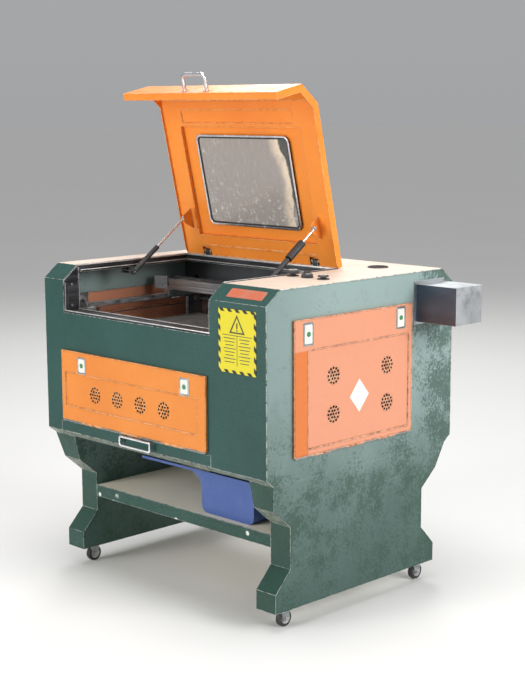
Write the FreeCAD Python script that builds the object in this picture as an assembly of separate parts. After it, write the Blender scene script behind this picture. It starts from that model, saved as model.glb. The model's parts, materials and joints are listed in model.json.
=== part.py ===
import FreeCAD, Part

import math
import os

# Floor-standing CO2 laser cutter with its lid open. X runs to the machine's right, Y to its back,
# Z up from the floor. Shapes are built with X = 0 on the cabinet's left face and Y = 0 on its front
# face, then moved so that the origin is the middle of the whole footprint. Sizes in millimetres.

V = FreeCAD.Vector
X_AXIS = V(1, 0, 0)
Y_AXIS = V(0, 1, 0)
Z_AXIS = V(0, 0, 1)

# Cabinet silhouette, seen from the side
WIDTH = 1000.0
DEPTH = 820.0
SHEET = 2.0
FOOT_Z = 60.0
BELLY_Z = FOOT_Z + 385.0
LIP_Z = FOOT_Z + 406.0
SHOULDER_Z = FOOT_Z + 894.0
DECK_Z = FOOT_Z + 937.0
LIP_Y = 28.0
CHAMFER_Y = 54.0
LEG_STEPS = [(47.0, FOOT_Z + 304.0), (114.0, FOOT_Z + 247.0), (114.0, FOOT_Z + 121.0),
             (54.0, FOOT_Z + 58.0), (54.0, FOOT_Z)]
LEG_IN_X = 98.0
LEG_OUT_X = 19.0
FLOOR_Z = BELLY_Z + SHEET

# Lid opening, and the lid over it
OPEN_X = (98.0, 773.0)
OPEN_REAR_Y = 526.0
SILL_Z = FOOT_Z + 791.0
JAMB_Y = 60.0
LID_X = (90.0, 782.0)
LID_RISE = 25.0
LID_GAP = 2.5
LID_REAR_Y = 554.0
LID_TIP_Z = FOOT_Z + 798.0
HINGE_Y = 540.0
HINGE_Z = DECK_Z + 17.0
LID_HINGE_X = (190.0, 682.0)
HINGE_PIN_R = 3.0
LID_OPEN_DEG = 77.4
LID_TOP_Z = DECK_Z + LID_RISE
LID_UNDER_Z = LID_TOP_Z - SHEET
LINER_Z = LID_UNDER_Z - 13.0
PANE_Z = (LID_UNDER_Z - 6, LID_UNDER_Z - 2)
WINDOW_X = (229.0, 643.0)
WINDOW_Y = (146.0, 443.0)
LINER_X = (167.0, 705.0)
LINER_Y = (117.0, 483.0)
HANDLE_X = (359.0, 470.0)
HANDLE_Z = LID_TIP_Z + 22.0
HANDLE_REACH = 58.0
HANDLE_BAR = 11.0
TRIM_W = 14.0
TRIM_Z = DECK_Z - 22.0

# Gas struts: pivot low in the opening, and pivot on the lid when it is shut
STRUT_X = 137.0
STRUT_FOOT = (255.0, FOOT_Z + 900.0)
STRUT_TOP_SHUT = (421.0, FOOT_Z + 917.0)
STRUT_TUBE_L = 128.0
STRUT_TUBE_R = 8.0
STRUT_ROD_R = 4.0
SLEEVE_SPAN = (133.0, 207.0)
STUD_R = 4.0

# Doors: low and high corners of each, on its own face
DOOR_PROUD = 8.0
DOOR_GAP = 1.5
DOOR_AXIS_OUT = 6.0
DOOR_PIN_R = 1.2
KNUCKLE_R = 2.5
FRONT_DOOR = (88.0, 762.0, FOOT_Z + 449.0, FOOT_Z + 672.0)
SIDE_DOOR = (103.0, 617.0, FOOT_Z + 453.0, FOOT_Z + 845.0)
DOOR_EDGE = 15.0
LATCH_W = 35.0
LATCH_PROUD = 1.0
VENT_HOLE_R = 4.1
VENT_PITCH = 11.0
FRONT_PANEL = (106.0, 725.0, FOOT_Z + 495.0, FOOT_Z + 602.0)
SIDE_PANEL = (160.0, 600.0, FOOT_Z + 471.0, FOOT_Z + 755.0)
FRONT_VENTS = [(x, FOOT_Z + 545) for x in (252, 360, 468, 576)]
SIDE_VENTS = [(x, z) for x in (268, 504) for z in (FOOT_Z + 557, FOOT_Z + 670)]
FRONT_LATCHES = [(191, FOOT_Z + 631), (672, FOOT_Z + 630)]
SIDE_LATCHES = [(160, FOOT_Z + 802), (562, FOOT_Z + 806)]
FRONT_LATCH_H = 46.0
SIDE_LATCH_H = 60.0

# Scrap drawer
DRAWER_X = (72.0, 773.0)
DRAWER_Z = (LIP_Z + 1.5, LIP_Z + 34.5)
TRAY_X = (150.0, 722.0)
TRAY_REAR_Y = 560.0
PULL_X = (380.0, 527.0)
PULL_Z = (LIP_Z + 2.0, LIP_Z + 36.0)
PULL_REACH = 20.0
PULL_BAR = 6.5

# Walls inside, and the laser tube
PARTITION_X = 779.0
REAR_WALL_Y = 600.0
TUBE_Y = 702.5
BEAM_Z = FOOT_Z + 842.0
TUBE_R = 27.5
TUBE_X = (105.0, 1120.0)
TUBE_BOX_L = 154.0
TUBE_BOX_Y = (640.0, 765.0)
TUBE_BOX_Z = (FOOT_Z + 785.0, FOOT_Z + 899.0)

# Motion system, at its rest place
RAIL_X = (125.5, 744.5)
RAIL_W = 15.0
RAIL_Z = FOOT_Z + 802.0
GANTRY_Y = 440.0
BEAM_LOW_Z = RAIL_Z + 25.0
BEAM_TOP_Z = BEAM_LOW_Z + 36.0
HEAD_X = 600.0
X_BELT_ENDS = (140.0, 722.0)
MOTOR_HALF_L = 38.0
FIRST_MIRROR_X = 60.0
BED_X = (145.0, 728.0)
BED_Y = (90.0, 530.0)
BED_TOP_Z = FOOT_Z + 740.0
SCREW_X = (122.0, 750.0)
SCREW_Y = (120.0, 500.0)
SCREW_R = 6.0
SHAFT_Y = 560.0
SHAFT_Z = FOOT_Z + 785.0
BELT_X = (108.0, 764.0)
PULLEY_R = 12.0
BELT_FRONT_Y = 90.0

# Shelf and bin
SHELF_Z = FOOT_Z + 208.0
SHELF_Y = 114.0
BIN_X = (580.0, 806.0)
BIN_Y = (140.0, 440.0)
BIN_LIP_X = 300.0
BIN_TOP_Z = FOOT_Z + 337.0

# Castors
CASTOR_X = 58.0
CASTOR_Y = 110.0
WHEEL_R = 25.0
WHEEL_W = 18.0
TRAIL = 15.0
STEM_R = 5.0
AXLE_R = 3.0

# Controls on the deck, hose port, rear fittings
CONTROL_Y = 305.0
STOP_X = 808.0
KEY_X = 866.0
START_X = 930.0
NECK_R = 9.0
PORT_XY = (843.0, 648.0)
PORT_R = 26.0
SPIGOT_XZ = (400.0, FOOT_Z + 580.0)
SPIGOT_R = 75.0
SPIGOT_L = 50.0

# The footprint reaches from the left latches to the tube box, and from the drawer pull to the spigot.
ORIGIN_X = (WIDTH + TUBE_BOX_L - DOOR_PROUD - LATCH_PROUD) / 2
ORIGIN_Y = (DEPTH + SPIGOT_L - PULL_REACH) / 2


# Small builders

def box(x, y, z):
    """A block between the given (low, high) pairs."""
    return Part.makeBox(x[1] - x[0], y[1] - y[0], z[1] - z[0], V(x[0], y[0], z[0]))


def rod(radius, centre, axis, length):
    """A cylinder that starts at centre and runs along axis."""
    return Part.makeCylinder(radius, length, V(*centre), axis)


def ring(outer, inner, centre, axis, length):
    """A tube that starts at centre and runs along axis."""
    return rod(outer, centre, axis, length).cut(rod(inner, centre, axis, length))


def slab_x(points, x):
    """A (y, z) outline extruded between two X values."""
    corners = [V(x[0], y, z) for y, z in points]
    face = Part.Face(Part.makePolygon(corners + corners[:1]))
    return face.extrude(V(x[1] - x[0], 0, 0))


def slab_y(points, y):
    """An (x, z) outline extruded between two Y values."""
    corners = [V(x, y[0], z) for x, z in points]
    face = Part.Face(Part.makePolygon(corners + corners[:1]))
    return face.extrude(V(0, y[1] - y[0], 0))


def join(shapes):
    """One solid from touching or overlapping shapes."""
    return shapes[0].multiFuse(shapes[1:]).removeSplitter()


def group(shapes):
    """Separate solids kept together in one node."""
    return Part.makeCompound(shapes)


def mirrored_x(shape, plane_x=WIDTH / 2):
    return shape.mirror(V(plane_x, 0, 0), X_AXIS)


def mirrored_y(shape):
    return shape.mirror(V(0, DEPTH / 2, 0), Y_AXIS)


def about(centre, half):
    """The (low, high) pair that reaches half to each side of centre."""
    return (centre - half, centre + half)


def grown(pair, by):
    return (pair[0] - by, pair[1] + by)


def left_normal(start, end):
    along = (end[0] - start[0], end[1] - start[1])
    length = math.hypot(*along)
    return (-along[1] / length, along[0] / length)


def offset_path(path, distance):
    """The polyline moved to its left by distance, with mitred corners."""
    normals = [left_normal(a, b) for a, b in zip(path, path[1:])]
    moved = []
    for i, (y, z) in enumerate(path):
        one = normals[max(i - 1, 0)]
        two = normals[min(i, len(normals) - 1)]
        scale = distance / (1 + one[0] * two[0] + one[1] * two[1])
        moved.append((y + (one[0] + two[0]) * scale, z + (one[1] + two[1]) * scale))
    return moved


def folded_sheet(path, x, thickness=-SHEET):
    """Sheet metal bent along a (y, z) polyline, thickened to its left, or right if negative."""
    return slab_x(path + offset_path(path, thickness)[::-1], x)


def mirror_depth(path):
    return [(DEPTH - y, z) for y, z in path]


def rounded_plate(x, y, z, radius, axis=Z_AXIS):
    """A block whose four edges along axis are rounded."""
    plate = box(x, y, z)
    along = [e for e in plate.Edges if abs(e.tangentAt(e.FirstParameter).dot(axis)) > 0.99]
    return plate.makeFillet(radius, along)


def arc_points(centre, radius, start, end, steps):
    """Points along an arc, between two angles in degrees."""
    angles = [math.radians(start + (end - start) * i / steps) for i in range(steps + 1)]
    return [(centre[0] + radius * math.cos(a), centre[1] + radius * math.sin(a)) for a in angles]


# Cabinet shell

FRONT_PATH = [(0.0, LIP_Z), (0.0, SHOULDER_Z), (CHAMFER_Y, DECK_Z)]


def front_sheet():
    return folded_sheet(FRONT_PATH, (0.0, WIDTH))


def front_panel():
    x0, x1, z0, z1 = FRONT_DOOR
    window = box(OPEN_X, (-1, JAMB_Y), (SILL_Z, DECK_Z + 1))
    doorway = box((x0 + DOOR_EDGE, x1 - DOOR_EDGE), (-1, SHEET + 1), (z0 + DOOR_EDGE, z1 - DOOR_EDGE))
    mouth = box(grown(DRAWER_X, 1), (-1, SHEET + 1), (LIP_Z - 1, DRAWER_Z[1] + 1.5))
    return front_sheet().cut(window).cut(doorway).cut(mouth)


def rear_panel():
    port = rod(SPIGOT_R - SHEET, (SPIGOT_XZ[0], DEPTH - 5, SPIGOT_XZ[1]), Y_AXIS, 10)
    return mirrored_y(front_sheet()).cut(port)


def deck_plate():
    sheet = box((0, WIDTH), (CHAMFER_Y, DEPTH - CHAMFER_Y), (DECK_Z - SHEET, DECK_Z))
    mouth = box(OPEN_X, (0, OPEN_REAR_Y), (DECK_Z - 5, DECK_Z + 5))
    holes = [rod(PORT_R, (*PORT_XY, DECK_Z - 5), Z_AXIS, 10)]
    holes += [rod(NECK_R + 1, (x, CONTROL_Y, DECK_Z - 5), Z_AXIS, 10) for x in (STOP_X, KEY_X, START_X)]
    return sheet.cut(front_sheet()).cut(mirrored_y(front_sheet())).cut(mouth).cut(group(holes))


def bottom_pan():
    path = [(0.0, LIP_Z), (LIP_Y, BELLY_Z)]
    path += mirror_depth(path)[::-1]
    pan = folded_sheet(path, (SHEET, WIDTH - SHEET), SHEET)
    return pan.cut(front_sheet()).cut(mirrored_y(front_sheet()))


def leg_box():
    """Hollow left leg: a stepped outline that also leans in below the cabinet, open at its top."""
    front = [(LIP_Y, BELLY_Z)] + LEG_STEPS
    knee_z = LEG_STEPS[0][1]
    outer = slab_x(front + mirror_depth(front)[::-1], (0, LEG_IN_X))
    cross = [(0, BELLY_Z), (LEG_OUT_X, knee_z), (LEG_OUT_X, FOOT_Z), (LEG_IN_X, FOOT_Z), (LEG_IN_X, BELLY_Z)]
    outer = outer.common(slab_y(cross, (0, DEPTH)))
    inside = offset_path(front, SHEET)
    inside[0] = (inside[0][0], BELLY_Z + 5)
    inside[-1] = (inside[-1][0], FOOT_Z + SHEET)
    inner = slab_x(inside + mirror_depth(inside)[::-1], (0, LEG_IN_X))
    core = [(SHEET, BELLY_Z + 5), (SHEET, BELLY_Z), (LEG_OUT_X + SHEET, knee_z), (LEG_OUT_X + SHEET, FOOT_Z),
            (LEG_IN_X - SHEET, FOOT_Z), (LEG_IN_X - SHEET, BELLY_Z + 5)]
    inner = inner.common(slab_y(core, (0, DEPTH)))
    stems = [rod(STEM_R + 0.05, (CASTOR_X, y, FOOT_Z - 5), Z_AXIS, 10) for y in (CASTOR_Y, DEPTH - CASTOR_Y)]
    return outer.cut(inner).cut(group(stems))


def side_skin():
    """The flat left side of the cabinet, cut away behind its door."""
    half = [(LIP_Y, BELLY_Z)] + FRONT_PATH
    skin = slab_x(half + mirror_depth(half)[::-1], (0, SHEET))
    deck = box((0, WIDTH), (CHAMFER_Y, DEPTH - CHAMFER_Y), (DECK_Z - SHEET, DECK_Z))
    skin = skin.cut(front_sheet()).cut(mirrored_y(front_sheet())).cut(deck)
    y0, y1, z0, z1 = SIDE_DOOR
    return skin.cut(box((-1, SHEET + 1), (y0 + DOOR_EDGE, y1 - DOOR_EDGE), (z0 + DOOR_EDGE, z1 - DOOR_EDGE)))


def side_frame_left():
    return join([side_skin(), leg_box()])


def side_frame_right():
    tube_way = box((WIDTH - 5, WIDTH + 5), grown(TUBE_BOX_Y, -5), grown(TUBE_BOX_Z, -5))
    return mirrored_x(side_frame_left()).cut(tube_way)


def bay_partition():
    top = DECK_Z - SHEET
    outline = [(LIP_Y + 2, FLOOR_Z), (SHEET, LIP_Z + 2), (SHEET, SHOULDER_Z - 3), (CHAMFER_Y + 2, top),
               (REAR_WALL_Y, top), (REAR_WALL_Y, FLOOR_Z)]
    return slab_x(outline, (PARTITION_X, PARTITION_X + SHEET))


def chamber_rear_wall():
    wall = box((SHEET, WIDTH - SHEET), (REAR_WALL_Y, REAR_WALL_Y + SHEET), (FLOOR_Z, DECK_Z - SHEET))
    beam_hole = rod(14, (FIRST_MIRROR_X, REAR_WALL_Y - 1, BEAM_Z), Y_AXIS, SHEET + 2)
    vent = box((250, 560), (REAR_WALL_Y - 1, REAR_WALL_Y + 5), (FOOT_Z + 470, FOOT_Z + 550))
    cable_hole = rod(20, (880, REAR_WALL_Y - 1, FOOT_Z + 700), Y_AXIS, SHEET + 2)
    return wall.cut(group([beam_hole, vent, cable_hole]))


def shelf_frame():
    """Front and rear beams, each with a ledge under the board."""
    face = box((LEG_IN_X, WIDTH - LEG_IN_X), (SHELF_Y, SHELF_Y + SHEET), (SHELF_Z - 38, SHELF_Z))
    ledge = box((LEG_IN_X, WIDTH - LEG_IN_X), (SHELF_Y, SHELF_Y + 36), (SHELF_Z - 12, SHELF_Z - 10))
    foot = box((LEG_IN_X, WIDTH - LEG_IN_X), (SHELF_Y, SHELF_Y + 20), (SHELF_Z - 38, SHELF_Z - 36))
    beam = join([face, ledge, foot])
    return group([beam, mirrored_y(beam)])


def shelf_board():
    edge = SHELF_Y + SHEET
    return box((LEG_IN_X, WIDTH - LEG_IN_X), (edge, DEPTH - edge), (SHELF_Z - 10, SHELF_Z))


# Trim channel and seal round the opening

def jamb():
    """Upright plate on the left of the opening, from the sill up under the chamfer."""
    plate = [(SHEET, SILL_Z - SHEET), (JAMB_Y, SILL_Z - SHEET), (JAMB_Y, DECK_Z - SHEET),
             (CHAMFER_Y + 3, DECK_Z - SHEET), (SHEET, SHOULDER_Z - 3)]
    return slab_x(plate, (OPEN_X[0] - SHEET, OPEN_X[0]))


def ledge(x, y, flange, lip):
    """One run of the trim: a flange under the deck edge, a flat ledge and an upturned lip."""
    return [box(flange[0], flange[1], (TRIM_Z, DECK_Z - SHEET)), box(x, y, (TRIM_Z, TRIM_Z + SHEET)),
            box(lip[0], lip[1], (TRIM_Z, TRIM_Z + 6))]


def opening_trim():
    x0, x1 = OPEN_X
    centre = (x0 + x1) / 2
    sill = [box((x0 - SHEET, x1 + SHEET), (SHEET, JAMB_Y), (SILL_Z - SHEET, SILL_Z)),
            box((x0, x1), (SHEET, 2 * SHEET), (SILL_Z, SILL_Z + 6)),
            box((x0, x1), (JAMB_Y - 4, JAMB_Y - 2), (SILL_Z, SILL_Z + 6))]
    left_lips = [box((x0, x0 + 6), (SHEET, 2 * SHEET), (SILL_Z, SHOULDER_Z - 9)),
                 box((x0, x0 + 6), (JAMB_Y - 4, JAMB_Y - 2), (SILL_Z, DECK_Z - 8))]
    left = ledge((x0, x0 + TRIM_W), (JAMB_Y, OPEN_REAR_Y),
                 ((x0 - SHEET, x0), (JAMB_Y, OPEN_REAR_Y + SHEET)),
                 ((x0 + TRIM_W - SHEET, x0 + TRIM_W), (JAMB_Y, OPEN_REAR_Y - TRIM_W + SHEET)))
    half = [jamb()] + left_lips + left
    rear = ledge((x0, x1), (OPEN_REAR_Y - TRIM_W, OPEN_REAR_Y),
                 ((x0, x1), (OPEN_REAR_Y, OPEN_REAR_Y + SHEET)),
                 ((x0 + TRIM_W, x1 - TRIM_W), (OPEN_REAR_Y - TRIM_W, OPEN_REAR_Y - TRIM_W + SHEET)))
    return join(sill + half + [mirrored_x(s, centre) for s in half] + rear)


def opening_gasket():
    x0, x1 = OPEN_X
    centre = (x0 + x1) / 2
    sill = box((x0 + 8, x1 - 8), (8, JAMB_Y - 8), (SILL_Z, SILL_Z + 4))
    jamb_strip = box((x0, x0 + 3), (8, 16), (SILL_Z + 6, SHOULDER_Z - 12))
    in_ledge = box((x0, x0 + TRIM_W - 4), (JAMB_Y, OPEN_REAR_Y - TRIM_W), (TRIM_Z + SHEET, TRIM_Z + 5))
    on_deck = box((x0 - 11, x0 - 2), (JAMB_Y + 2, OPEN_REAR_Y + 6), (DECK_Z, DECK_Z + 1.5))
    sides = [jamb_strip, in_ledge, on_deck]
    rear = [box((x0, x1), (OPEN_REAR_Y - TRIM_W + 4, OPEN_REAR_Y), (TRIM_Z + SHEET, TRIM_Z + 5)),
            box((x0 - 2, x1 + 2), (OPEN_REAR_Y, OPEN_REAR_Y + 6), (DECK_Z, DECK_Z + 1.5))]
    return group([sill] + sides + [mirrored_x(s, centre) for s in sides] + rear)


# Lid, built shut and then swung open about its hinge

LID_BASE = [(0.0, LID_TIP_Z), (0.0, SHOULDER_Z), (CHAMFER_Y, DECK_Z), (LID_REAR_Y, DECK_Z)]


def swung_open(shape):
    opened = shape.copy()
    opened.rotate(V(0, HINGE_Y, HINGE_Z), X_AXIS, -LID_OPEN_DEG)
    return opened


def lid_skin():
    outer = offset_path(LID_BASE, LID_RISE)
    inner = offset_path(LID_BASE, LID_RISE - SHEET)
    skin = slab_x(outer + inner[::-1], LID_X)
    rim = offset_path(LID_BASE[:-1] + [(HINGE_Y - 6, DECK_Z)], LID_GAP) + [(LID_REAR_Y, DECK_Z + 8.5)]
    wall = slab_x(outer + rim[::-1], (LID_X[0], LID_X[0] + SHEET))
    tip = box(LID_X, (-LID_RISE, -LID_GAP), (LID_TIP_Z, LID_TIP_Z + SHEET))
    back = box(LID_X, (LID_REAR_Y - SHEET, LID_REAR_Y), (DECK_Z + 8.5, LID_TOP_Z))
    centre = sum(LID_X) / 2
    return join([skin, wall, mirrored_x(wall, centre), tip, back])


def hinge_ear(x):
    width = x[1] - x[0]
    web = box(x, about(HINGE_Y, 5), (HINGE_Z, LID_UNDER_Z))
    ear = join([web, rod(5.5, (x[0], HINGE_Y, HINGE_Z), X_AXIS, width)])
    return ear.cut(rod(HINGE_PIN_R + 0.05, (x[0] - 1, HINGE_Y, HINGE_Z), X_AXIS, width + 2))


def lid_liner():
    """Inner sheet from wall to wall, folded up round the window, with a pressed band and a bead."""
    z = LINER_Z
    sheet = box(grown(LID_X, -SHEET), (31, LID_REAR_Y - SHEET), (z, z + SHEET))
    band = ((180, 680), (62, 104))
    fold = box(grown(LINER_X, SHEET), grown(LINER_Y, SHEET), (z, LID_UNDER_Z - 1))
    tray = box(grown(band[0], SHEET), grown(band[1], SHEET), (z, z + 3 + SHEET))
    bead = box((181, 694), (516, 520), (z - 2, z))
    liner = join([sheet, fold, tray, bead])
    liner = liner.cut(box(LINER_X, LINER_Y, (z - 1, LID_UNDER_Z)))
    liner = liner.cut(box(*band, (z - 1, z + 3)))
    for x in LID_HINGE_X:
        liner = liner.cut(box(about(x, 20), (HINGE_Y - 14, LID_REAR_Y), (z - 3, LID_UNDER_Z)))
    return liner


def lid_shell():
    shell = lid_skin()
    behind = (LID_REAR_Y - 6, LID_REAR_Y + 1)
    notches = [box(about(x, 19), behind, (DECK_Z, LID_UNDER_Z)) for x in LID_HINGE_X]
    window = box(grown(WINDOW_X, -9), grown(WINDOW_Y, -9), (LID_UNDER_Z - 5, LID_TOP_Z + 5))
    ears = []
    for x in LID_HINGE_X:
        ears += [hinge_ear((x - 16.5, x - 12.5)), hinge_ear((x + 12.5, x + 16.5))]
    shell = shell.cut(group(notches)).cut(window)
    return swung_open(join([shell, lid_liner()] + ears))


def window_pane():
    return rounded_plate(grown(WINDOW_X, -4), grown(WINDOW_Y, -4), PANE_Z, 18)


def lid_window():
    return swung_open(window_pane())


def lid_gasket():
    """Rubber frame that holds the pane in a groove."""
    frame = rounded_plate(WINDOW_X, WINDOW_Y, (LID_UNDER_Z - 8, LID_UNDER_Z), 22)
    hole = rounded_plate(grown(WINDOW_X, -9), grown(WINDOW_Y, -9), (LID_UNDER_Z - 9, LID_UNDER_Z + 1), 14)
    return swung_open(frame.cut(hole).cut(window_pane()))


def lid_handle():
    """D handle on the flap: a square bar bent with round corners, on two feet."""
    face = -LID_RISE
    z = about(HANDLE_Z, HANDLE_BAR / 2)
    outer = rounded_plate(HANDLE_X, (face - HANDLE_REACH, face + 40), z, 20)
    inner = rounded_plate(grown(HANDLE_X, -HANDLE_BAR), (face - HANDLE_REACH + HANDLE_BAR, face + 29), z, 9)
    loop = outer.cut(inner)
    rims = [e for e in loop.Edges if abs(e.tangentAt(e.FirstParameter).z) < 0.01]
    outside = box(grown(HANDLE_X, 5), (face - HANDLE_REACH - 5, face - 2), grown(z, 5))
    loop = loop.makeFillet(3, rims).common(outside)
    feet = [box(about(x, 9), (face - 2, face), grown(z, 3)) for x in grown(HANDLE_X, -HANDLE_BAR / 2)]
    return swung_open(join([loop] + feet))


def strut_bracket():
    y, z = STRUT_TOP_SHUT
    x = (STRUT_X + 5.5, STRUT_X + 9.5)
    web = slab_x([(y - 28, LINER_Z), (y - 12, z - 9), (y + 12, z - 9), (y + 44, LINER_Z)], x)
    pad = box((x[0], STRUT_X + 27), (y - 28, y + 44), (LINER_Z - 3, LINER_Z))
    return join([web, pad])


def strut_brackets():
    bracket = strut_bracket()
    return swung_open(group([bracket, mirrored_x(bracket, sum(OPEN_X) / 2)]))


# Gas struts

def turned_open(y, z):
    """Where a lid point (y, z) lies once the lid is open."""
    angle = math.radians(-LID_OPEN_DEG)
    dy = y - HINGE_Y
    dz = z - HINGE_Z
    return (HINGE_Y + dy * math.cos(angle) - dz * math.sin(angle),
            HINGE_Z + dy * math.sin(angle) + dz * math.cos(angle))


STRUT_TOP_OPEN = turned_open(*STRUT_TOP_SHUT)
STRUT_DY = STRUT_TOP_OPEN[0] - STRUT_FOOT[0]
STRUT_DZ = STRUT_TOP_OPEN[1] - STRUT_FOOT[1]
STRUT_L = math.hypot(STRUT_DY, STRUT_DZ)
STRUT_AXIS = V(0, STRUT_DY / STRUT_L, STRUT_DZ / STRUT_L)


def along_strut(x, distance):
    """The point at a distance from the foot pivot, along the open strut."""
    return (x, STRUT_FOOT[0] + STRUT_AXIS.y * distance, STRUT_FOOT[1] + STRUT_AXIS.z * distance)


def both_struts(shape):
    return [shape, mirrored_x(shape, sum(OPEN_X) / 2)]


def strut_tube():
    eye = rod(8.5, (STRUT_X - 5, *STRUT_FOOT), X_AXIS, 10)
    barrel = rod(STRUT_TUBE_R, along_strut(STRUT_X, 7), STRUT_AXIS, STRUT_TUBE_L - 7)
    bore = rod(STRUT_ROD_R + 0.5, along_strut(STRUT_X, 12), STRUT_AXIS, STRUT_TUBE_L)
    stud_hole = rod(STUD_R + 0.05, (STRUT_X - 10, *STRUT_FOOT), X_AXIS, 20)
    return join([eye, barrel]).cut(bore).cut(stud_hole)


def strut_rod():
    shaft = rod(STRUT_ROD_R, along_strut(STRUT_X, STRUT_TUBE_L + 4), STRUT_AXIS, STRUT_L - STRUT_TUBE_L - 8)
    shank = rod(STRUT_ROD_R, along_strut(STRUT_X, STRUT_TUBE_L - 2), STRUT_AXIS, 6)
    eye = rod(9, (STRUT_X - 5, *STRUT_TOP_OPEN), X_AXIS, 10)
    bolt = rod(5, (STRUT_X - 9, *STRUT_TOP_OPEN), X_AXIS, 4)
    return join([shaft, shank, eye, bolt])


def lock_sleeve():
    """Loose safety sleeve that drops over the strut rod and blocks it."""
    start = along_strut(sum(OPEN_X) - STRUT_X, SLEEVE_SPAN[0])
    return ring(12, STRUT_TUBE_R + 1, start, STRUT_AXIS, SLEEVE_SPAN[1] - SLEEVE_SPAN[0])


def strut_foot():
    """Bracket under the deck with a stud for the strut's lower eye."""
    y, z = STRUT_FOOT
    edge = OPEN_X[0] - SHEET
    plate = box((edge - 4, edge), about(y, 15), (z - 5, DECK_Z - SHEET))
    arm = box((edge - 4, STRUT_X - 8), about(y, 8), (z - 5, z + 5))
    stud = rod(STUD_R, (STRUT_X - 9, y, z), X_AXIS, 18)
    return join([plate, arm, stud])


# Hinges

def lid_lug(x):
    block = box(about(x, 12), about(HINGE_Y, 5), (DECK_Z, HINGE_Z))
    head = rod(5.5, (x - 12, HINGE_Y, HINGE_Z), X_AXIS, 24)
    pin = rod(HINGE_PIN_R, (x - 17, HINGE_Y, HINGE_Z), X_AXIS, 34)
    return join([block, head, pin])


def knuckle_spans(x, count):
    """Equal stretches along a piano hinge, with half a millimetre between neighbours."""
    pitch = (x[1] - x[0]) / count
    return [(x[0] + i * pitch + 0.25, x[0] + (i + 1) * pitch - 0.25) for i in range(count)]


def door_hinge_axis(z0):
    return (-DOOR_AXIS_OUT, z0 - 3.0)


def fixed_knuckles(door):
    """Pin, and every second knuckle, held to the cabinet under a front door."""
    x0, x1, z0, _ = door
    y, z = door_hinge_axis(z0)
    parts = [rod(DOOR_PIN_R, (x0 + 5, y, z), X_AXIS, x1 - x0 - 10)]
    for span in knuckle_spans((x0 + 5, x1 - 5), 7)[::2]:
        parts.append(rod(KNUCKLE_R, (span[0], y, z), X_AXIS, span[1] - span[0]))
        parts.append(box(span, (y, 0), about(z, 1)))
    return join(parts)


def moving_knuckles(door):
    x0, x1, z0, _ = door
    y, z = door_hinge_axis(z0)
    parts = []
    for span in knuckle_spans((x0 + 5, x1 - 5), 7)[1::2]:
        barrel = join([rod(KNUCKLE_R, (span[0], y, z), X_AXIS, span[1] - span[0]),
                       box(span, (y - 1, y + 1), (z, z0 + 1))])
        parts.append(barrel.cut(rod(DOOR_PIN_R + 0.08, (span[0] - 1, y, z), X_AXIS, span[1] - span[0] + 2)))
    return parts


def on_right_side(shape):
    """A door built for the front, turned onto the right side with its width along Y."""
    turned = shape.copy()
    turned.rotate(V(0, 0, 0), Z_AXIS, 90)
    turned.translate(V(WIDTH, 0, 0))
    return turned


def hinge_pins():
    """Everything fixed that a lid, strut or door turns on."""
    lugs = [lid_lug(x) for x in LID_HINGE_X]
    side = on_right_side(fixed_knuckles(SIDE_DOOR))
    return group(lugs + both_struts(strut_foot()) + [fixed_knuckles(FRONT_DOOR), side, mirrored_x(side)])


# Doors: pressed pans hinged at the bottom, with a pressed-in panel, vents and two push latches

def vent_holes(x, z):
    """A rosette: one hole, a ring of six and a ring of twelve."""
    holes = []
    for radius, count in ((0, 1), (VENT_PITCH, 6), (2 * VENT_PITCH, 12)):
        for i in range(count):
            angle = 2 * math.pi * i / count
            place = (x + radius * math.cos(angle), -20, z + radius * math.sin(angle))
            holes.append(rod(VENT_HOLE_R, place, Y_AXIS, 20))
    return holes


def door_pan(door, panel, vents, latches, latch_h):
    x0, x1, z0, z1 = door
    px0, px1, pz0, pz1 = panel
    face = -DOOR_PROUD
    sunk = face + 2.5
    block = box((x0, x1), (face, -DOOR_GAP), (z0, z1))
    dent = box((px0, px1), (face - 1, sunk), (pz0, pz1))
    hollow = box((x0 + SHEET, x1 - SHEET), (face + SHEET, 0), (z0 + SHEET, z1 - SHEET))
    behind = box((px0 - SHEET, px1 + SHEET), (face - 1, sunk + SHEET), (pz0 - SHEET, pz1 + SHEET))
    pan = block.cut(dent).cut(hollow.cut(behind))
    cuts = [hole for x, z in vents for hole in vent_holes(x, z)]
    cuts += [box(about(x, LATCH_W / 2 + 1), (-20, 0), about(z, latch_h / 2 + 1)) for x, z in latches]
    return join([pan.cut(group(cuts))] + moving_knuckles(door))


def latch(x, z, height):
    """Push plate with a stem behind it, and a raised centre pad."""
    face = -DOOR_PROUD - LATCH_PROUD
    plate = box(about(x, LATCH_W / 2), (face + 0.6, face + 4), about(z, height / 2))
    pad = box(about(x, LATCH_W / 4), (face, face + 1), about(z, height / 4))
    stem = box(about(x, 6), (face + 4, face + 14), about(z, 6))
    return join([plate, pad, stem])


def front_door():
    return door_pan(FRONT_DOOR, FRONT_PANEL, FRONT_VENTS, FRONT_LATCHES, FRONT_LATCH_H)


def right_door():
    return on_right_side(door_pan(SIDE_DOOR, SIDE_PANEL, SIDE_VENTS, SIDE_LATCHES, SIDE_LATCH_H))


def side_latches():
    return [on_right_side(latch(x, z, SIDE_LATCH_H)) for x, z in SIDE_LATCHES]


# Scrap drawer

def scrap_drawer():
    front = box(DRAWER_X, (0, SHEET), DRAWER_Z)
    tray = box(TRAY_X, (SHEET, TRAY_REAR_Y), (DRAWER_Z[0] + 2.5, DRAWER_Z[1] - 2.5))
    room = box(grown(TRAY_X, -SHEET), (2 * SHEET, TRAY_REAR_Y - SHEET), (DRAWER_Z[0] + 4.5, DRAWER_Z[1]))
    return join([front, tray.cut(room)])


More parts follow.
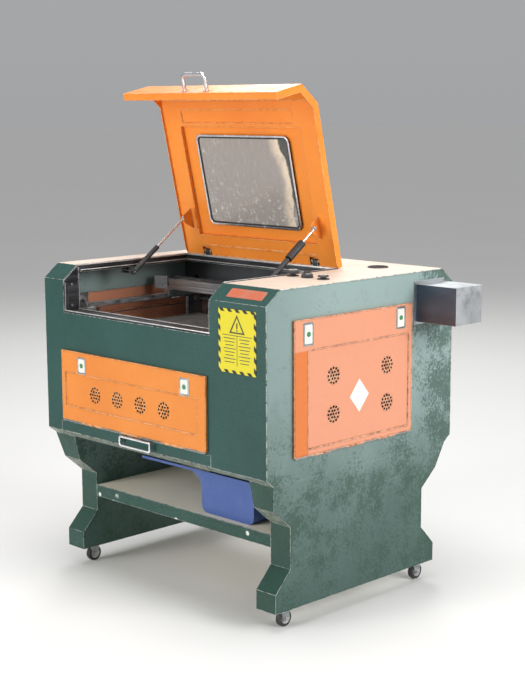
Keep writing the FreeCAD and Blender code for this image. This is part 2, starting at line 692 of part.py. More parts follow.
def drawer_pull():
    """Round-cornered chrome loop held off the drawer front by two legs."""
    reach = (-PULL_REACH, -PULL_REACH + 7)
    window = rounded_plate(grown(PULL_X, -PULL_BAR), grown(reach, 1), grown(PULL_Z, -PULL_BAR), 4, Y_AXIS)
    loop = rounded_plate(PULL_X, reach, PULL_Z, 9, Y_AXIS).cut(window)
    rims = [e for e in loop.Edges if abs(e.tangentAt(e.FirstParameter).y) < 0.01]
    loop = loop.makeFillet(1.5, rims)
    legs = [box(about(x, 2), (reach[1] - 2, 0), grown(PULL_Z, -11)) for x in grown(PULL_X, -PULL_BAR / 2)]
    return join([loop] + legs)


# Laser tube, optics and electronics

def tube_box():
    outer = box((WIDTH, WIDTH + TUBE_BOX_L), TUBE_BOX_Y, TUBE_BOX_Z)
    flange = box((WIDTH, WIDTH + SHEET), grown(TUBE_BOX_Y, 9), grown(TUBE_BOX_Z, 9))
    inner = box((WIDTH - 1, WIDTH + TUBE_BOX_L - SHEET), grown(TUBE_BOX_Y, -SHEET), grown(TUBE_BOX_Z, -SHEET))
    return join([outer, flange]).cut(inner)


def laser_tube():
    """Glass tube with a metal electrode closing each end."""
    start = (TUBE_X[0], TUBE_Y, BEAM_Z)
    glass = ring(TUBE_R, TUBE_R - 3, start, X_AXIS, TUBE_X[1] - TUBE_X[0])
    caps = [rod(18, (x, TUBE_Y, BEAM_Z), X_AXIS, 15) for x in (TUBE_X[0] - 15, TUBE_X[1])]
    plugs = [rod(TUBE_R - 3, (x, TUBE_Y, BEAM_Z), X_AXIS, 6) for x in (TUBE_X[0], TUBE_X[1] - 6)]
    return group([glass, join([caps[0], plugs[0]]), join([plugs[1], caps[1]])])


def tube_clamps():
    clamps = []
    for x in (260.0, 860.0):
        span = (x, x + 25)
        hoop = ring(TUBE_R + 8, TUBE_R + 0.3, (x, TUBE_Y, BEAM_Z), X_AXIS, 25)
        arm_top = BEAM_Z - TUBE_R - 4
        arm = box(span, (REAR_WALL_Y + SHEET, TUBE_Y + 20), (arm_top - 8, arm_top))
        plate = box(span, (REAR_WALL_Y + SHEET, REAR_WALL_Y + 6), (arm_top - 40, arm_top + 30))
        clamps.append(join([hoop, arm, plate]))
    return group(clamps)


def mirror_block(x, y, z):
    """Block with a round mirror set in a face at 45 degrees."""
    body = box(about(x, 18), about(y, 18), (z - 20, z + 20))
    body = body.cut(slab_z([(x + 19, y - 19), (x + 19, y + 12), (x - 12, y - 19)], (z - 21, z + 21)))
    normal = V(1, -1, 0).normalize()
    face = V(x + 3.5, y - 3.5, z)
    return join([body, rod(12, tuple(face - normal), normal, 3)])


def slab_z(points, z):
    """An (x, y) outline extruded between two Z values."""
    corners = [V(x, y, z[0]) for x, y in points]
    face = Part.Face(Part.makePolygon(corners + corners[:1]))
    return face.extrude(V(0, 0, z[1] - z[0]))


def fixed_mirror():
    arm = box(about(FIRST_MIRROR_X, 15), (REAR_WALL_Y + SHEET, TUBE_Y + 15), (BEAM_Z - 26, BEAM_Z - 20))
    return join([mirror_block(FIRST_MIRROR_X, TUBE_Y, BEAM_Z), arm])


def bay_electronics():
    """Laser power supply on the floor of the bay, controller and two drivers on its wall."""
    wall = PARTITION_X + SHEET
    supply = box((810, 950), (180, 440), (FLOOR_Z, FLOOR_Z + 170))
    controller = box((wall, wall + 34), (160, 400), (FOOT_Z + 640, FOOT_Z + 790))
    drivers = [box((wall, wall + 28), (y, y + 70), (FOOT_Z + 500, FOOT_Z + 610)) for y in (180, 290)]
    return group([supply, controller] + drivers)


# Motion system

def y_rails():
    """Two rails, each standing on two posts, with a belt guide on the front post."""
    pieces = []
    for rail_x, belt_x in zip(RAIL_X, BELT_X):
        pieces.append(box(about(rail_x, RAIL_W / 2), (66, REAR_WALL_Y), (RAIL_Z, RAIL_Z + RAIL_W)))
        pieces += [box(about(rail_x, 10), y, (FLOOR_Z, RAIL_Z)) for y in ((66, 96), (576, REAR_WALL_Y))]
        start = min(belt_x - 3, rail_x + 10)
        end = max(belt_x + 3, rail_x - 10)
        axle = rod(3, (start, BELT_FRONT_Y, SHAFT_Z), X_AXIS, end - start)
        pieces.append(join([rod(PULLEY_R, (belt_x - 3, BELT_FRONT_Y, SHAFT_Z), X_AXIS, 6), axle]))
    return group(pieces)


def racetrack(x, radius):
    """Filled loop outline round the shaft and the front guide, extruded along X."""
    ends = [rod(radius, (x[0], y, SHAFT_Z), X_AXIS, x[1] - x[0]) for y in (BELT_FRONT_Y, SHAFT_Y)]
    return join(ends + [box(x, (BELT_FRONT_Y, SHAFT_Y), about(SHAFT_Z, radius))])


def y_belts():
    loops = []
    for belt_x in BELT_X:
        span = about(belt_x, 4)
        loops.append(racetrack(span, PULLEY_R + 2).cut(racetrack(span, PULLEY_R + 0.3)))
    return group(loops)


def y_drive_shaft():
    """Two half shafts with a belt pulley each, driven from between them."""
    inner_ends = (about(438, MOTOR_HALF_L + 0.5))
    pieces = []
    for belt_x, end_x in zip(BELT_X, inner_ends):
        low = min(belt_x - 8, end_x)
        high = max(belt_x + 8, end_x)
        shaft = rod(5, (low, SHAFT_Y, SHAFT_Z), X_AXIS, high - low)
        pulley = rod(PULLEY_R, (belt_x - 5, SHAFT_Y, SHAFT_Z), X_AXIS, 10)
        pieces.append(join([shaft, pulley]))
    return group(pieces)


def step_motor():
    """Double-ended motor on a plate that reaches back to the wall."""
    body = box(about(438, MOTOR_HALF_L), about(SHAFT_Y, 27), about(SHAFT_Z, 28))
    plate = box(about(438, 30), (SHAFT_Y + 27, REAR_WALL_Y), about(SHAFT_Z, 24))
    return join([body, plate])


def lift_screws():
    length = FOOT_Z + 796 - FLOOR_Z
    return group([rod(SCREW_R, (x, y, FLOOR_Z), Z_AXIS, length) for x in SCREW_X for y in SCREW_Y])


def honeycomb_bed():
    """Frame with a thin core, and a nut at each corner round its screw."""
    top = BED_TOP_Z
    frame = box(BED_X, BED_Y, (top - 30, top))
    frame = frame.cut(box(grown(BED_X, -14), grown(BED_Y, -14), (top - 31, top + 1)))
    core = box(grown(BED_X, -14), grown(BED_Y, -14), (top - 14, top - 2))
    nuts = []
    for sx, edge in zip(SCREW_X, BED_X):
        for sy in SCREW_Y:
            reach = (min(sx - 10, edge), max(sx + 10, edge))
            nuts.append(box(reach, about(sy, 12), (top - 30, top - 8)))
    bed = join([frame, core] + nuts)
    bores = [rod(SCREW_R + 0.08, (x, y, top - 40), Z_AXIS, 50) for x in SCREW_X for y in SCREW_Y]
    return bed.cut(group(bores))


def end_carriage(rail_x, belt_x):
    """Saddle over a rail, with a tab down to the belt beside it."""
    y = about(GANTRY_Y, 35)
    top = box(about(rail_x, 12.5), y, (RAIL_Z + RAIL_W + 0.5, BEAM_LOW_Z))
    gap = RAIL_W / 2 + 0.4
    cheeks = [box(x, y, (RAIL_Z + 4, BEAM_LOW_Z))
              for x in ((rail_x - 12.5, rail_x - gap), (rail_x + gap, rail_x + 12.5))]
    reach = (min(belt_x - 4, rail_x), max(belt_x + 4, rail_x))
    tab = box(reach, about(GANTRY_Y, 12), (SHAFT_Z + PULLEY_R + 2.3, BEAM_LOW_Z))
    groove = box(about(rail_x, gap), about(GANTRY_Y, 40), (RAIL_Z - 3, RAIL_Z + RAIL_W + 0.5))
    return join([top, tab] + cheeks).cut(groove)


def gantry_beam():
    """Slotted cross beam on two end carriages, with the second mirror out at its left."""
    y = about(GANTRY_Y, 15)
    span = (RAIL_X[0] - 12.5, RAIL_X[1] + 12.5)
    beam = box(span, y, (BEAM_LOW_Z, BEAM_TOP_Z))
    slots = [box(span, depth, about(BEAM_LOW_Z + 18, 4)) for depth in ((y[0], y[0] + 4), (y[1] - 4, y[1]))]
    arm = box((FIRST_MIRROR_X - 15, span[0]), y, (BEAM_LOW_Z - 6, BEAM_LOW_Z))
    block = mirror_block(FIRST_MIRROR_X, GANTRY_Y, BEAM_LOW_Z + 20)
    carriages = [end_carriage(*pair) for pair in zip(RAIL_X, BELT_X)]
    return join([beam.cut(group(slots)), arm, block] + carriages)


def x_drive():
    """Cross motor behind the beam's right end, with its pulley and the far guide on the beam."""
    body = box((702, 744), (GANTRY_Y + 15, GANTRY_Y + 55), (BEAM_LOW_Z, BEAM_TOP_Z))
    wheels = [rod(9, (x, GANTRY_Y + 5, BEAM_TOP_Z), Z_AXIS, 8) for x in X_BELT_ENDS]
    return group([body] + wheels)


def x_belt():
    y = GANTRY_Y + 5
    z = BEAM_TOP_Z + 1

    def loop(radius):
        ends = [rod(radius, (x, y, z), Z_AXIS, 6) for x in X_BELT_ENDS]
        return join(ends + [box(X_BELT_ENDS, about(y, radius), (z, z + 6))])

    return loop(10.6).cut(loop(9.1))


def laser_head():
    """Carriage plate hooked over the beam, mirror block, focusing tube with its collar, nozzle."""
    y = GANTRY_Y - 40
    plate = box(about(HEAD_X, 32), (GANTRY_Y - 22, GANTRY_Y - 15.6), (BEAM_LOW_Z + 1, BEAM_TOP_Z + 14))
    hook = box(about(HEAD_X, 32), (GANTRY_Y - 22, GANTRY_Y + 14), (BEAM_TOP_Z + 10, BEAM_TOP_Z + 14))
    block = box(about(HEAD_X, 18), (y - 15, GANTRY_Y - 22), (BEAM_LOW_Z, BEAM_TOP_Z + 4))
    tube = rod(14, (HEAD_X, y, BEAM_LOW_Z - 33), Z_AXIS, 33)
    collar = rod(17, (HEAD_X, y, BEAM_LOW_Z - 22), Z_AXIS, 7)
    nozzle = Part.makeCone(3, 12, 14, V(HEAD_X, y, BEAM_LOW_Z - 47), Z_AXIS)
    return join([plate, hook, block, tube, collar, nozzle])


# Bin on the shelf

def bin_outline(wall):
    """Front view of the bin: a deep box whose left side sweeps up into a long thin lip."""
    x0 = BIN_X[0] + wall
    x1 = BIN_X[1] - wall
    low = SHELF_Z + wall
    high = BIN_TOP_Z
    sweep = 54.0 - wall
    points = [(x1, high)]
    points += arc_points((x1 - 24, low + 24), 24, 0, -90, 6)
    points += arc_points((x0 + 24, low + 24), 24, -90, -180, 6)
    points += arc_points((x0 - sweep, high - 62), sweep, 0, 90, 9)
    points += [(BIN_LIP_X + wall, high - 8 + wall), (BIN_LIP_X + wall, high)]
    return points


def storage_bin():
    outer = slab_y(bin_outline(0), BIN_Y)
    room = slab_y(bin_outline(4), grown(BIN_Y, -4))
    room = join([room, box((BIN_LIP_X + 4, BIN_X[1] - 4), grown(BIN_Y, -4), (BIN_TOP_Z - 1, BIN_TOP_Z + 5))])
    return outer.cut(room)


# Castors

def castor_fork():
    """Swivel head and fork over the wheel, at the front left castor."""
    crown = box(about(CASTOR_X, WHEEL_W / 2 + 3.5), (CASTOR_Y - 14, CASTOR_Y + TRAIL + 14), (52, 55))
    head = rod(14, (CASTOR_X, CASTOR_Y, 55), Z_AXIS, 4.5)
    stem = rod(STEM_R, (CASTOR_X, CASTOR_Y, 55), Z_AXIS, 17)
    nut = rod(9, (CASTOR_X, CASTOR_Y, FOOT_Z + SHEET + 0.5), Z_AXIS, 6)
    hub_y = CASTOR_Y + TRAIL
    cheek = slab_x([(CASTOR_Y - 8, 55), (hub_y + 14, 55), (hub_y + 8, 17), (hub_y - 8, 17)],
                   (CASTOR_X + WHEEL_W / 2 + 1, CASTOR_X + WHEEL_W / 2 + 3.5))
    other = mirrored_x(cheek, CASTOR_X)
    axle = rod(AXLE_R, (CASTOR_X - WHEEL_W / 2 - 5, hub_y, WHEEL_R), X_AXIS, WHEEL_W + 10)
    return join([crown, head, stem, nut, cheek, other, axle])


def castor_wheel():
    centre = (CASTOR_X - WHEEL_W / 2, CASTOR_Y + TRAIL, WHEEL_R)
    disc = rod(WHEEL_R, centre, X_AXIS, WHEEL_W)
    rims = [e for e in disc.Edges if e.isClosed()]
    return disc.makeFillet(3, rims).cut(rod(AXLE_R + 0.05, centre, X_AXIS, WHEEL_W))


# Controls and fittings

def control_bezels():
    places = [(x, CONTROL_Y, DECK_Z) for x in (STOP_X, KEY_X, START_X)]
    return group([ring(18, NECK_R + 0.08, place, Z_AXIS, 3) for place in places])


def push_cap(x, radius, low, high):
    """A neck through the deck with a round cap on it, bevelled at its top."""
    cap = rod(radius, (x, CONTROL_Y, DECK_Z + low), Z_AXIS, high - low)
    top = [e for e in cap.Edges if e.isClosed() and e.CenterOfMass.z > DECK_Z + high - 0.1]
    neck = rod(NECK_R, (x, CONTROL_Y, DECK_Z - 12), Z_AXIS, low + 13)
    return join([neck, cap.makeChamfer(2, top)])


def emergency_stop():
    return push_cap(STOP_X, 18, 9.5, 19)


def key_switch():
    """Round switch head with a flat bow to turn it by."""
    bow = box(about(KEY_X, 3), about(CONTROL_Y, 12), (DECK_Z + 11, DECK_Z + 20))
    return join([push_cap(KEY_X, 16, 3.5, 12), bow])


def start_button():
    return push_cap(START_X, 15, 7.5, 13)


def exhaust_spigot():
    x, z = SPIGOT_XZ
    flange = box(about(x, 95), (DEPTH, DEPTH + 3), about(z, 95))
    pipe = rod(SPIGOT_R, (x, DEPTH, z), Y_AXIS, SPIGOT_L)
    return join([flange, pipe]).cut(rod(SPIGOT_R - SHEET, (x, DEPTH - 1, z), Y_AXIS, SPIGOT_L + 2))


def power_inlet():
    shell = box((870, 930), (DEPTH, DEPTH + 6), (FOOT_Z + 460, FOOT_Z + 510))
    well = box((884, 916), (DEPTH + 1, DEPTH + 7), (FOOT_Z + 472, FOOT_Z + 498))
    blades = [box(about(x, 1), (DEPTH + 1, DEPTH + 5), about(FOOT_Z + z, 3))
              for x, z in ((891, 482), (909, 482), (900, 489))]
    return join([shell.cut(well)] + blades)


def panel_screws():
    """Domed heads on the left jamb, the tube box flange and the rear panel."""
    heads = [rod(4, (OPEN_X[0], 32, z), X_AXIS, 2.5) for z in (SILL_Z + 20, SILL_Z + 86)]
    for y in grown(TUBE_BOX_Y, 4.5):
        heads += [rod(3, (WIDTH + SHEET, y, z), X_AXIS, 2) for z in grown(TUBE_BOX_Z, 4.5)]
    for x in (40, 240, 560, 780, 960):
        heads += [rod(4, (x, DEPTH, z), Y_AXIS, 2.5) for z in (LIP_Z + 25, SHOULDER_Z - 20)]
    for x in about(SPIGOT_XZ[0], 84):
        heads += [rod(3, (x, DEPTH + 3, z), Y_AXIS, 2) for z in about(SPIGOT_XZ[1], 84)]
    return group(heads)


def castors():
    """The fork and wheel of each castor, by name."""
    parts = {}
    for side, at_right in (("left", False), ("right", True)):
        for end, dy in (("front", 0.0), ("rear", DEPTH - 2 * CASTOR_Y)):
            for kind, shape in (("fork", castor_fork()), ("wheel", castor_wheel())):
                placed = mirrored_x(shape) if at_right else shape
                parts[f"castor_{kind}_{end}_{side}"] = placed.translated(V(0, dy, 0))
    return parts


def all_parts():
    right = side_latches()
    parts = {
        "side_frame_left": side_frame_left(), "side_frame_right": side_frame_right(),
        "front_panel": front_panel(), "rear_panel": rear_panel(), "deck_plate": deck_plate(),
        "bottom_pan": bottom_pan(), "bay_partition": bay_partition(),
        "chamber_rear_wall": chamber_rear_wall(), "shelf_frame": shelf_frame(),
        "shelf_board": shelf_board(), "opening_trim": opening_trim(), "opening_gasket": opening_gasket(),
        "tube_box": tube_box(), "laser_tube": laser_tube(), "tube_clamps": tube_clamps(),
        "fixed_mirror": fixed_mirror(), "bay_electronics": bay_electronics(), "y_rails": y_rails(),
        "y_belts": y_belts(), "step_motor": step_motor(), "lift_screws": lift_screws(),
        "exhaust_spigot": exhaust_spigot(), "power_inlet": power_inlet(), "panel_screws": panel_screws(),
        "hinge_pins": hinge_pins(), "control_bezels": control_bezels(),
        "lid_shell": lid_shell(), "lid_window": lid_window(), "lid_gasket": lid_gasket(),
        "lid_handle": lid_handle(), "strut_brackets": strut_brackets(),
        "strut_tubes": group(both_struts(strut_tube())), "strut_rods": group(both_struts(strut_rod())),
        "strut_lock_sleeve": lock_sleeve(),
        "front_door": front_door(),
        "front_latches": group([latch(x, z, FRONT_LATCH_H) for x, z in FRONT_LATCHES]),
        "right_door": right_door(), "right_latches": group(right),
        "left_door": mirrored_x(right_door()), "left_latches": group([mirrored_x(s) for s in right]),
        "scrap_drawer": scrap_drawer(), "drawer_pull": drawer_pull(),
        "gantry_beam": gantry_beam(), "x_drive": x_drive(), "x_belt": x_belt(), "laser_head": laser_head(),
        "y_drive_shaft": y_drive_shaft(), "honeycomb_bed": honeycomb_bed(), "storage_bin": storage_bin(),
        "emergency_stop": emergency_stop(), "key_switch": key_switch(), "start_button": start_button(),
    }
    parts.update(castors())
    return parts


def main():
    os.makedirs("parts", exist_ok=True)
    for name, shape in all_parts().items():
        shape.translate(V(-ORIGIN_X, -ORIGIN_Y, 0))
        shape.exportStep(f"parts/{name}.step")


if __name__ == "__main__":
    main()
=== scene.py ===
import json
import math

import bmesh
import bpy
from mathutils import Matrix, Vector

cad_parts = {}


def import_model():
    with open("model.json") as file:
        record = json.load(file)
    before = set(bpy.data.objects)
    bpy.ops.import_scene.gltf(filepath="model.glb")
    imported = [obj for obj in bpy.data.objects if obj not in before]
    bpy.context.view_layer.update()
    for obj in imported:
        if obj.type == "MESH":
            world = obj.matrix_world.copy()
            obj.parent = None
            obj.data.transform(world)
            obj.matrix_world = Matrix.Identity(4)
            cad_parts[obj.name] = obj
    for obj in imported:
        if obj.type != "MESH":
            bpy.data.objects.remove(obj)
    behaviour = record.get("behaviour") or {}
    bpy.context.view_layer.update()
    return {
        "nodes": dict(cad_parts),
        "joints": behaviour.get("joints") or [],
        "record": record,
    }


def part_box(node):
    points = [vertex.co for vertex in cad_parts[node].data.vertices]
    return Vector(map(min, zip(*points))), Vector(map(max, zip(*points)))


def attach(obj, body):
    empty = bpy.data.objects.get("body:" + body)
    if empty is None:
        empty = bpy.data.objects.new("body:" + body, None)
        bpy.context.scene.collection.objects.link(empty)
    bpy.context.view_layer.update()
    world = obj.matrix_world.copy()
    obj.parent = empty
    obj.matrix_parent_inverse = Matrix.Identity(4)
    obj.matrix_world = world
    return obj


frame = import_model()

JOINTS = {j["name"]: j for j in frame["joints"]}
ORIGIN = Vector((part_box("front_panel")[0].x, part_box("front_panel")[0].y, 0.0))
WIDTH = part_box("front_panel")[1].x - ORIGIN.x
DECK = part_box("deck_plate")[1].z
HINGE = Vector(JOINTS["lid_hinge"]["pos_m"])
OPEN = math.radians(JOINTS["lid_hinge"]["range_deg"][1])
LID_TURN = Matrix.Translation(HINGE) @ Matrix.Rotation(-OPEN, 4, "X") @ Matrix.Translation(-HINGE)


def at(x, y, z):
    """Millimetres from the cabinet's front left corner at floor level, as a place in the row frame."""
    return ORIGIN + Vector((x, y, z)) / 1000


# Shader building

PEEL = 0.00012  # depth of the orange peel in metres


def srgb(r, g, b):
    """A colour given in 0 to 255 as the linear values that nodes take."""
    def linear(c):
        c /= 255
        return c / 12.92 if c <= 0.04045 else ((c + 0.055) / 1.055) ** 2.4
    return (linear(r), linear(g), linear(b), 1.0)


class Shader:
    """A node material that reads object coordinates, which are row-frame metres."""

    def __init__(self, name):
        self.material = bpy.data.materials.new(name)
        self.material.use_nodes = True
        self.tree = self.material.node_tree
        self.bsdf = self.tree.nodes["Principled BSDF"]
        self.place = self.add("TexCoord").outputs["Object"]

    def add(self, kind, inputs=None, **settings):
        made = self.tree.nodes.new("ShaderNode" + kind)
        for key, value in settings.items():
            setattr(made, key, value)
        for key, value in (inputs or {}).items():
            self.put(made.inputs[key], value)
        return made

    def put(self, socket, value):
        if isinstance(value, bpy.types.NodeSocket):
            self.tree.links.new(value, socket)
        else:
            socket.default_value = value

    def set(self, **values):
        for key, value in values.items():
            self.put(self.bsdf.inputs[key.replace("_", " ").title().replace("Ior", "IOR")], value)
        return self

    def noise(self, scale, detail=4.0, rough=0.55, place=None):
        inputs = {"Vector": place or self.place, "Scale": scale, "Detail": detail, "Roughness": rough}
        return self.add("TexNoise", inputs).outputs[0]

    def cells(self, scale):
        return self.add("TexVoronoi", {"Vector": self.place, "Scale": scale}).outputs["Distance"]

    def stretched(self, x, y, z):
        return self.add("Mapping", {"Vector": self.place, "Scale": (x, y, z)}).outputs[0]

    def step(self, value, low, high, to_low=0.0, to_high=1.0):
        inputs = {"Value": value, "From Min": low, "From Max": high, "To Min": to_low, "To Max": to_high}
        return self.add("MapRange", inputs, interpolation_type="SMOOTHSTEP").outputs[0]

    def math(self, operation, a, b=0.0):
        return self.add("Math", {0: a, 1: b}, operation=operation).outputs[0]

    def mix(self, factor, a, b):
        made = self.add("Mix", {0: factor, 6: a, 7: b}, data_type="RGBA")
        return made.outputs[2]

    def axis(self, name):
        return self.add("SeparateXYZ", {0: self.place}).outputs[name]

    def edges(self, radius, sharp=0.97):
        """1 along outer and inner edges, 0 on flats."""
        soft = self.add("Bevel", {"Radius": radius}, samples=4).outputs[0]
        flat = self.add("NewGeometry").outputs["Normal"]
        facing = self.add("VectorMath", {0: soft, 1: flat}, operation="DOT_PRODUCT").outputs["Value"]
        return self.step(facing, sharp, 0.999, 1.0, 0.0)

    def relief(self, height, distance, strength=1.0, soften=0.0):
        inputs = {"Height": height, "Distance": distance, "Strength": strength}
        if soften:
            inputs["Normal"] = self.add("Bevel", {"Radius": soften}, samples=4).outputs[0]
        self.put(self.bsdf.inputs["Normal"], self.add("Bump", inputs).outputs[0])
        return self


def powder_coat(name, light, dark, worn, grime=0.35, rough=0.42, mottle=None, chips=0.0, side_light=None,
                floor_bounce=None, painted_shade=None, fade=1.0, border=0.72):
    """Powder coat: slow colour drift, fine speckle, orange peel, worn edges with a dark border.

    side_light is a painted highlight colour for faces to the left and right. It fades towards the floor,
    down to the share that fade says, and a little towards the front. floor_bounce is a paler colour, in
    patches, for faces turned down: painted light from the floor. painted_shade is a pair of a colour of
    painted shade and the function that says where it lies. border is how dark the grime beside an edge
    is, mottle a colour in patches, and chips the reach of bare spots."""
    s = Shader(name)
    drift = s.step(s.noise(4.0, 5), 0.3, 0.7)
    color = s.mix(drift, light, dark)
    facing = s.add("SeparateXYZ", {0: s.add("TexCoord").outputs["Normal"]}).outputs
    # Painted highlight: faces to the left and right take a paler colour, less towards the floor and the
    # front.
    if side_light:
        side = s.step(s.math("ABSOLUTE", facing["X"]), 0.6, 0.95)
        cloud = s.math("MULTIPLY", s.math("SUBTRACT", s.noise(3.0, 6, 0.6), 0.5), 0.5)
        high = s.step(s.math("ADD", s.axis("Z"), cloud), 0.1, 0.82, fade, 1.0)
        high = s.math("MULTIPLY", high, s.step(s.axis("Y"), -0.42, -0.12, min(1.0, fade + 0.62), 1.0))
        color = s.mix(s.math("MULTIPLY", side, high), color, side_light)
    # Painted shade: a deeper colour where the given function says.
    if painted_shade:
        color = s.mix(painted_shade[1](s), color, painted_shade[0])
    speck = s.step(s.noise(320.0, 2), 0.4, 0.8)
    color = s.mix(s.math("MULTIPLY", speck, 0.08), color, worn)
    if mottle:
        rear = s.step(s.axis("Y"), 0.12, 0.38)
        low = s.step(s.axis("Z"), 0.85, 0.3)
        where = s.math("MAXIMUM", rear, s.math("MULTIPLY", low, 0.55))
        patch = s.math("ADD", s.noise(9.0, 9, 0.75), s.math("MULTIPLY", s.noise(110.0, 5, 0.7), 0.7))
        patch = s.step(s.math("ADD", patch, s.math("MULTIPLY", where, 0.23)), 0.94, 1.1)
        color = s.mix(s.math("MULTIPLY", patch, 0.74), color, mottle)
    dirt = s.step(s.noise(20.0, 9, 0.7), 0.54, 0.75)
    color = s.mix(s.math("MULTIPLY", dirt, grime * 0.5), color, srgb(42, 48, 40))
    # Painted light from the floor: faces turned down take a paler colour, in patches.
    if floor_bounce:
        under = s.step(facing["Z"], -0.2, -0.6)
        bounced = s.math("MULTIPLY", under, s.step(s.noise(60.0, 6, 0.75), 0.34, 0.62, 1.0, 0.25))
        color = s.mix(bounced, color, floor_bounce)
    wide = s.math("MULTIPLY", s.edges(0.007, 0.94), s.step(s.noise(75.0, 5, 0.75), 0.36, 0.54))
    color = s.mix(s.math("MULTIPLY", wide, border), color, srgb(30, 38, 33))
    thin = s.math("MULTIPLY", s.edges(0.0028, 0.97), s.step(s.noise(52.0, 6, 0.8), 0.42, 0.54))
    color = s.mix(s.math("MULTIPLY", thin, 0.9), color, worn)
    if chips:
        near = s.step(s.cells(24.0), chips, chips * 0.7)
        spot = s.math("MULTIPLY", near, s.step(s.noise(14.0, 4), 0.47, 0.55))
        color = s.mix(spot, color, srgb(226, 228, 220))
    s.set(base_color=color, roughness=s.step(s.noise(30.0, 4), 0.3, 0.7, rough - 0.08, rough + 0.12))
    s.set(specular_ior_level=0.3)
    height = s.math("ADD", s.noise(420.0, 2), s.math("MULTIPLY", s.noise(60.0, 3), 0.6))
    return s.relief(height, PEEL, 1.0, 0.0012).material


def brushed(name, light, dark, grain=(4.0, 4.0, 600.0), rough=0.34, metallic=1.0, tarnish=0.3, rub=0.5,
            ends=None):
    """Brushed metal, stained in places and worn bright along its edges.

    ends is a painted highlight colour for its faces to the right and up."""
    s = Shader(name)
    streak = s.noise(1.0, 4, 0.6, s.stretched(*grain))
    color = s.mix(s.step(streak, 0.25, 0.75), dark, light)
    # Painted highlight: faces to the right and up take the paler colour, unevenly.
    if ends:
        facing = s.add("SeparateXYZ", {0: s.add("TexCoord").outputs["Normal"]}).outputs
        bright = s.step(s.math("MAXIMUM", facing["X"], facing["Z"]), 0.6, 0.95)
        uneven = s.step(s.noise(9.0, 7, 0.65), 0.2, 0.6, 0.8, 1.0)
        color = s.mix(s.math("MULTIPLY", bright, uneven), color, ends)
    stain = s.step(s.noise(11.0, 8, 0.65), 0.5, 0.72)
    color = s.mix(s.math("MULTIPLY", stain, tarnish), color, srgb(70, 66, 66))
    color = s.mix(s.math("MULTIPLY", s.edges(0.002), rub), color, srgb(236, 236, 234))
    s.set(base_color=color, metallic=metallic, roughness=s.step(streak, 0.2, 0.8, rough - 0.08, rough + 0.14))
    return s.relief(streak, 0.00006, 0.8, 0.0008).material


def moulded(name, color, rough=0.5, grain=0.00005, dust=0.15, scale=500.0):
    """Moulded plastic or rubber with a fine grain, a little dust and paler edges."""
    s = Shader(name)
    dusty = s.step(s.noise(30.0, 8, 0.7), 0.45, 0.8)
    tint = s.mix(s.math("MULTIPLY", dusty, dust), color, srgb(150, 146, 138))
    tint = s.mix(s.math("MULTIPLY", s.edges(0.0015), 0.25), tint, srgb(170, 170, 168))
    s.set(base_color=tint, roughness=s.step(s.noise(45.0, 4), 0.3, 0.7, rough - 0.07, rough + 0.1))
    return s.relief(s.noise(scale, 3), grain, 1.0, 0.0008).material


def polished(name, color):
    """Plated metal, bright between its finger marks."""
    s = Shader(name)
    smear = s.step(s.noise(25.0, 7, 0.7), 0.4, 0.75)
    tint = s.mix(s.math("MULTIPLY", smear, 0.25), color, srgb(120, 120, 122))
    s.set(base_color=tint, metallic=1.0, roughness=s.step(s.noise(60.0, 5), 0.3, 0.75, 0.12, 0.32))
    return s.relief(s.noise(200.0, 3), 0.00002, 1.0, 0.001).material


def smoked_pane():
    """Grey acrylic with wiping scratches, dust low down, and a painted reflection by its right edge."""
    s = Shader("smoked_window")
    wipe = s.noise(1.0, 5, 0.6, s.stretched(160.0, 20.0, 20.0))
    dust = s.step(s.noise(60.0, 9, 0.8), 0.54, 0.64)
    low = s.step(s.axis("Z"), HINGE.z + 0.3, HINGE.z + 0.1)
    start, edge = (corner.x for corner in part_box("lid_window"))
    left = s.step(s.axis("X"), start + 0.16, start + 0.02)
    dusty = s.math("ADD", s.math("MAXIMUM", low, s.math("MULTIPLY", left, 0.6)), 0.04)
    spots = s.math("MULTIPLY", dust, dusty)
    color = s.mix(s.step(wipe, 0.3, 0.8), srgb(164, 157, 151), srgb(176, 169, 163))
    # Painted reflection: a bright streaky band along the pane's right edge, bending with noise and rising
    # with height.
    bend = s.math("MULTIPLY", s.noise(5.0, 5, 0.6), 0.09)
    across = s.math("ADD", s.axis("X"), bend)
    rise = s.step(s.axis("Z"), HINGE.z + 0.2, HINGE.z + 0.42, -0.012, 0.016)
    across = s.math("ADD", across, rise)
    smear = s.step(across, edge - 0.03, edge + 0.012)
    smear = s.math("MULTIPLY", smear, s.step(across, edge + 0.022, edge + 0.016))
    smear = s.math("MULTIPLY", smear, s.step(s.noise(40.0, 8, 0.8), 0.2, 0.55))
    color = s.mix(s.math("MULTIPLY", smear, 0.9), color, srgb(250, 232, 206))
    # Painted reflection: dark beyond the bright band, above a height.
    above = s.step(s.axis("Z"), HINGE.z + 0.14, HINGE.z + 0.2)
    tint = s.math("MULTIPLY", s.step(across, edge + 0.018, edge + 0.024), above)
    color = s.mix(s.math("MULTIPLY", tint, 0.85), color, srgb(50, 54, 46))
    color = s.mix(spots, color, srgb(244, 240, 232))
    s.set(base_color=color, roughness=s.step(wipe, 0.3, 0.8, 0.14, 0.3), transmission_weight=0.12)
    s.set(coat_weight=0.3)
    return s.relief(wipe, 0.00001).material


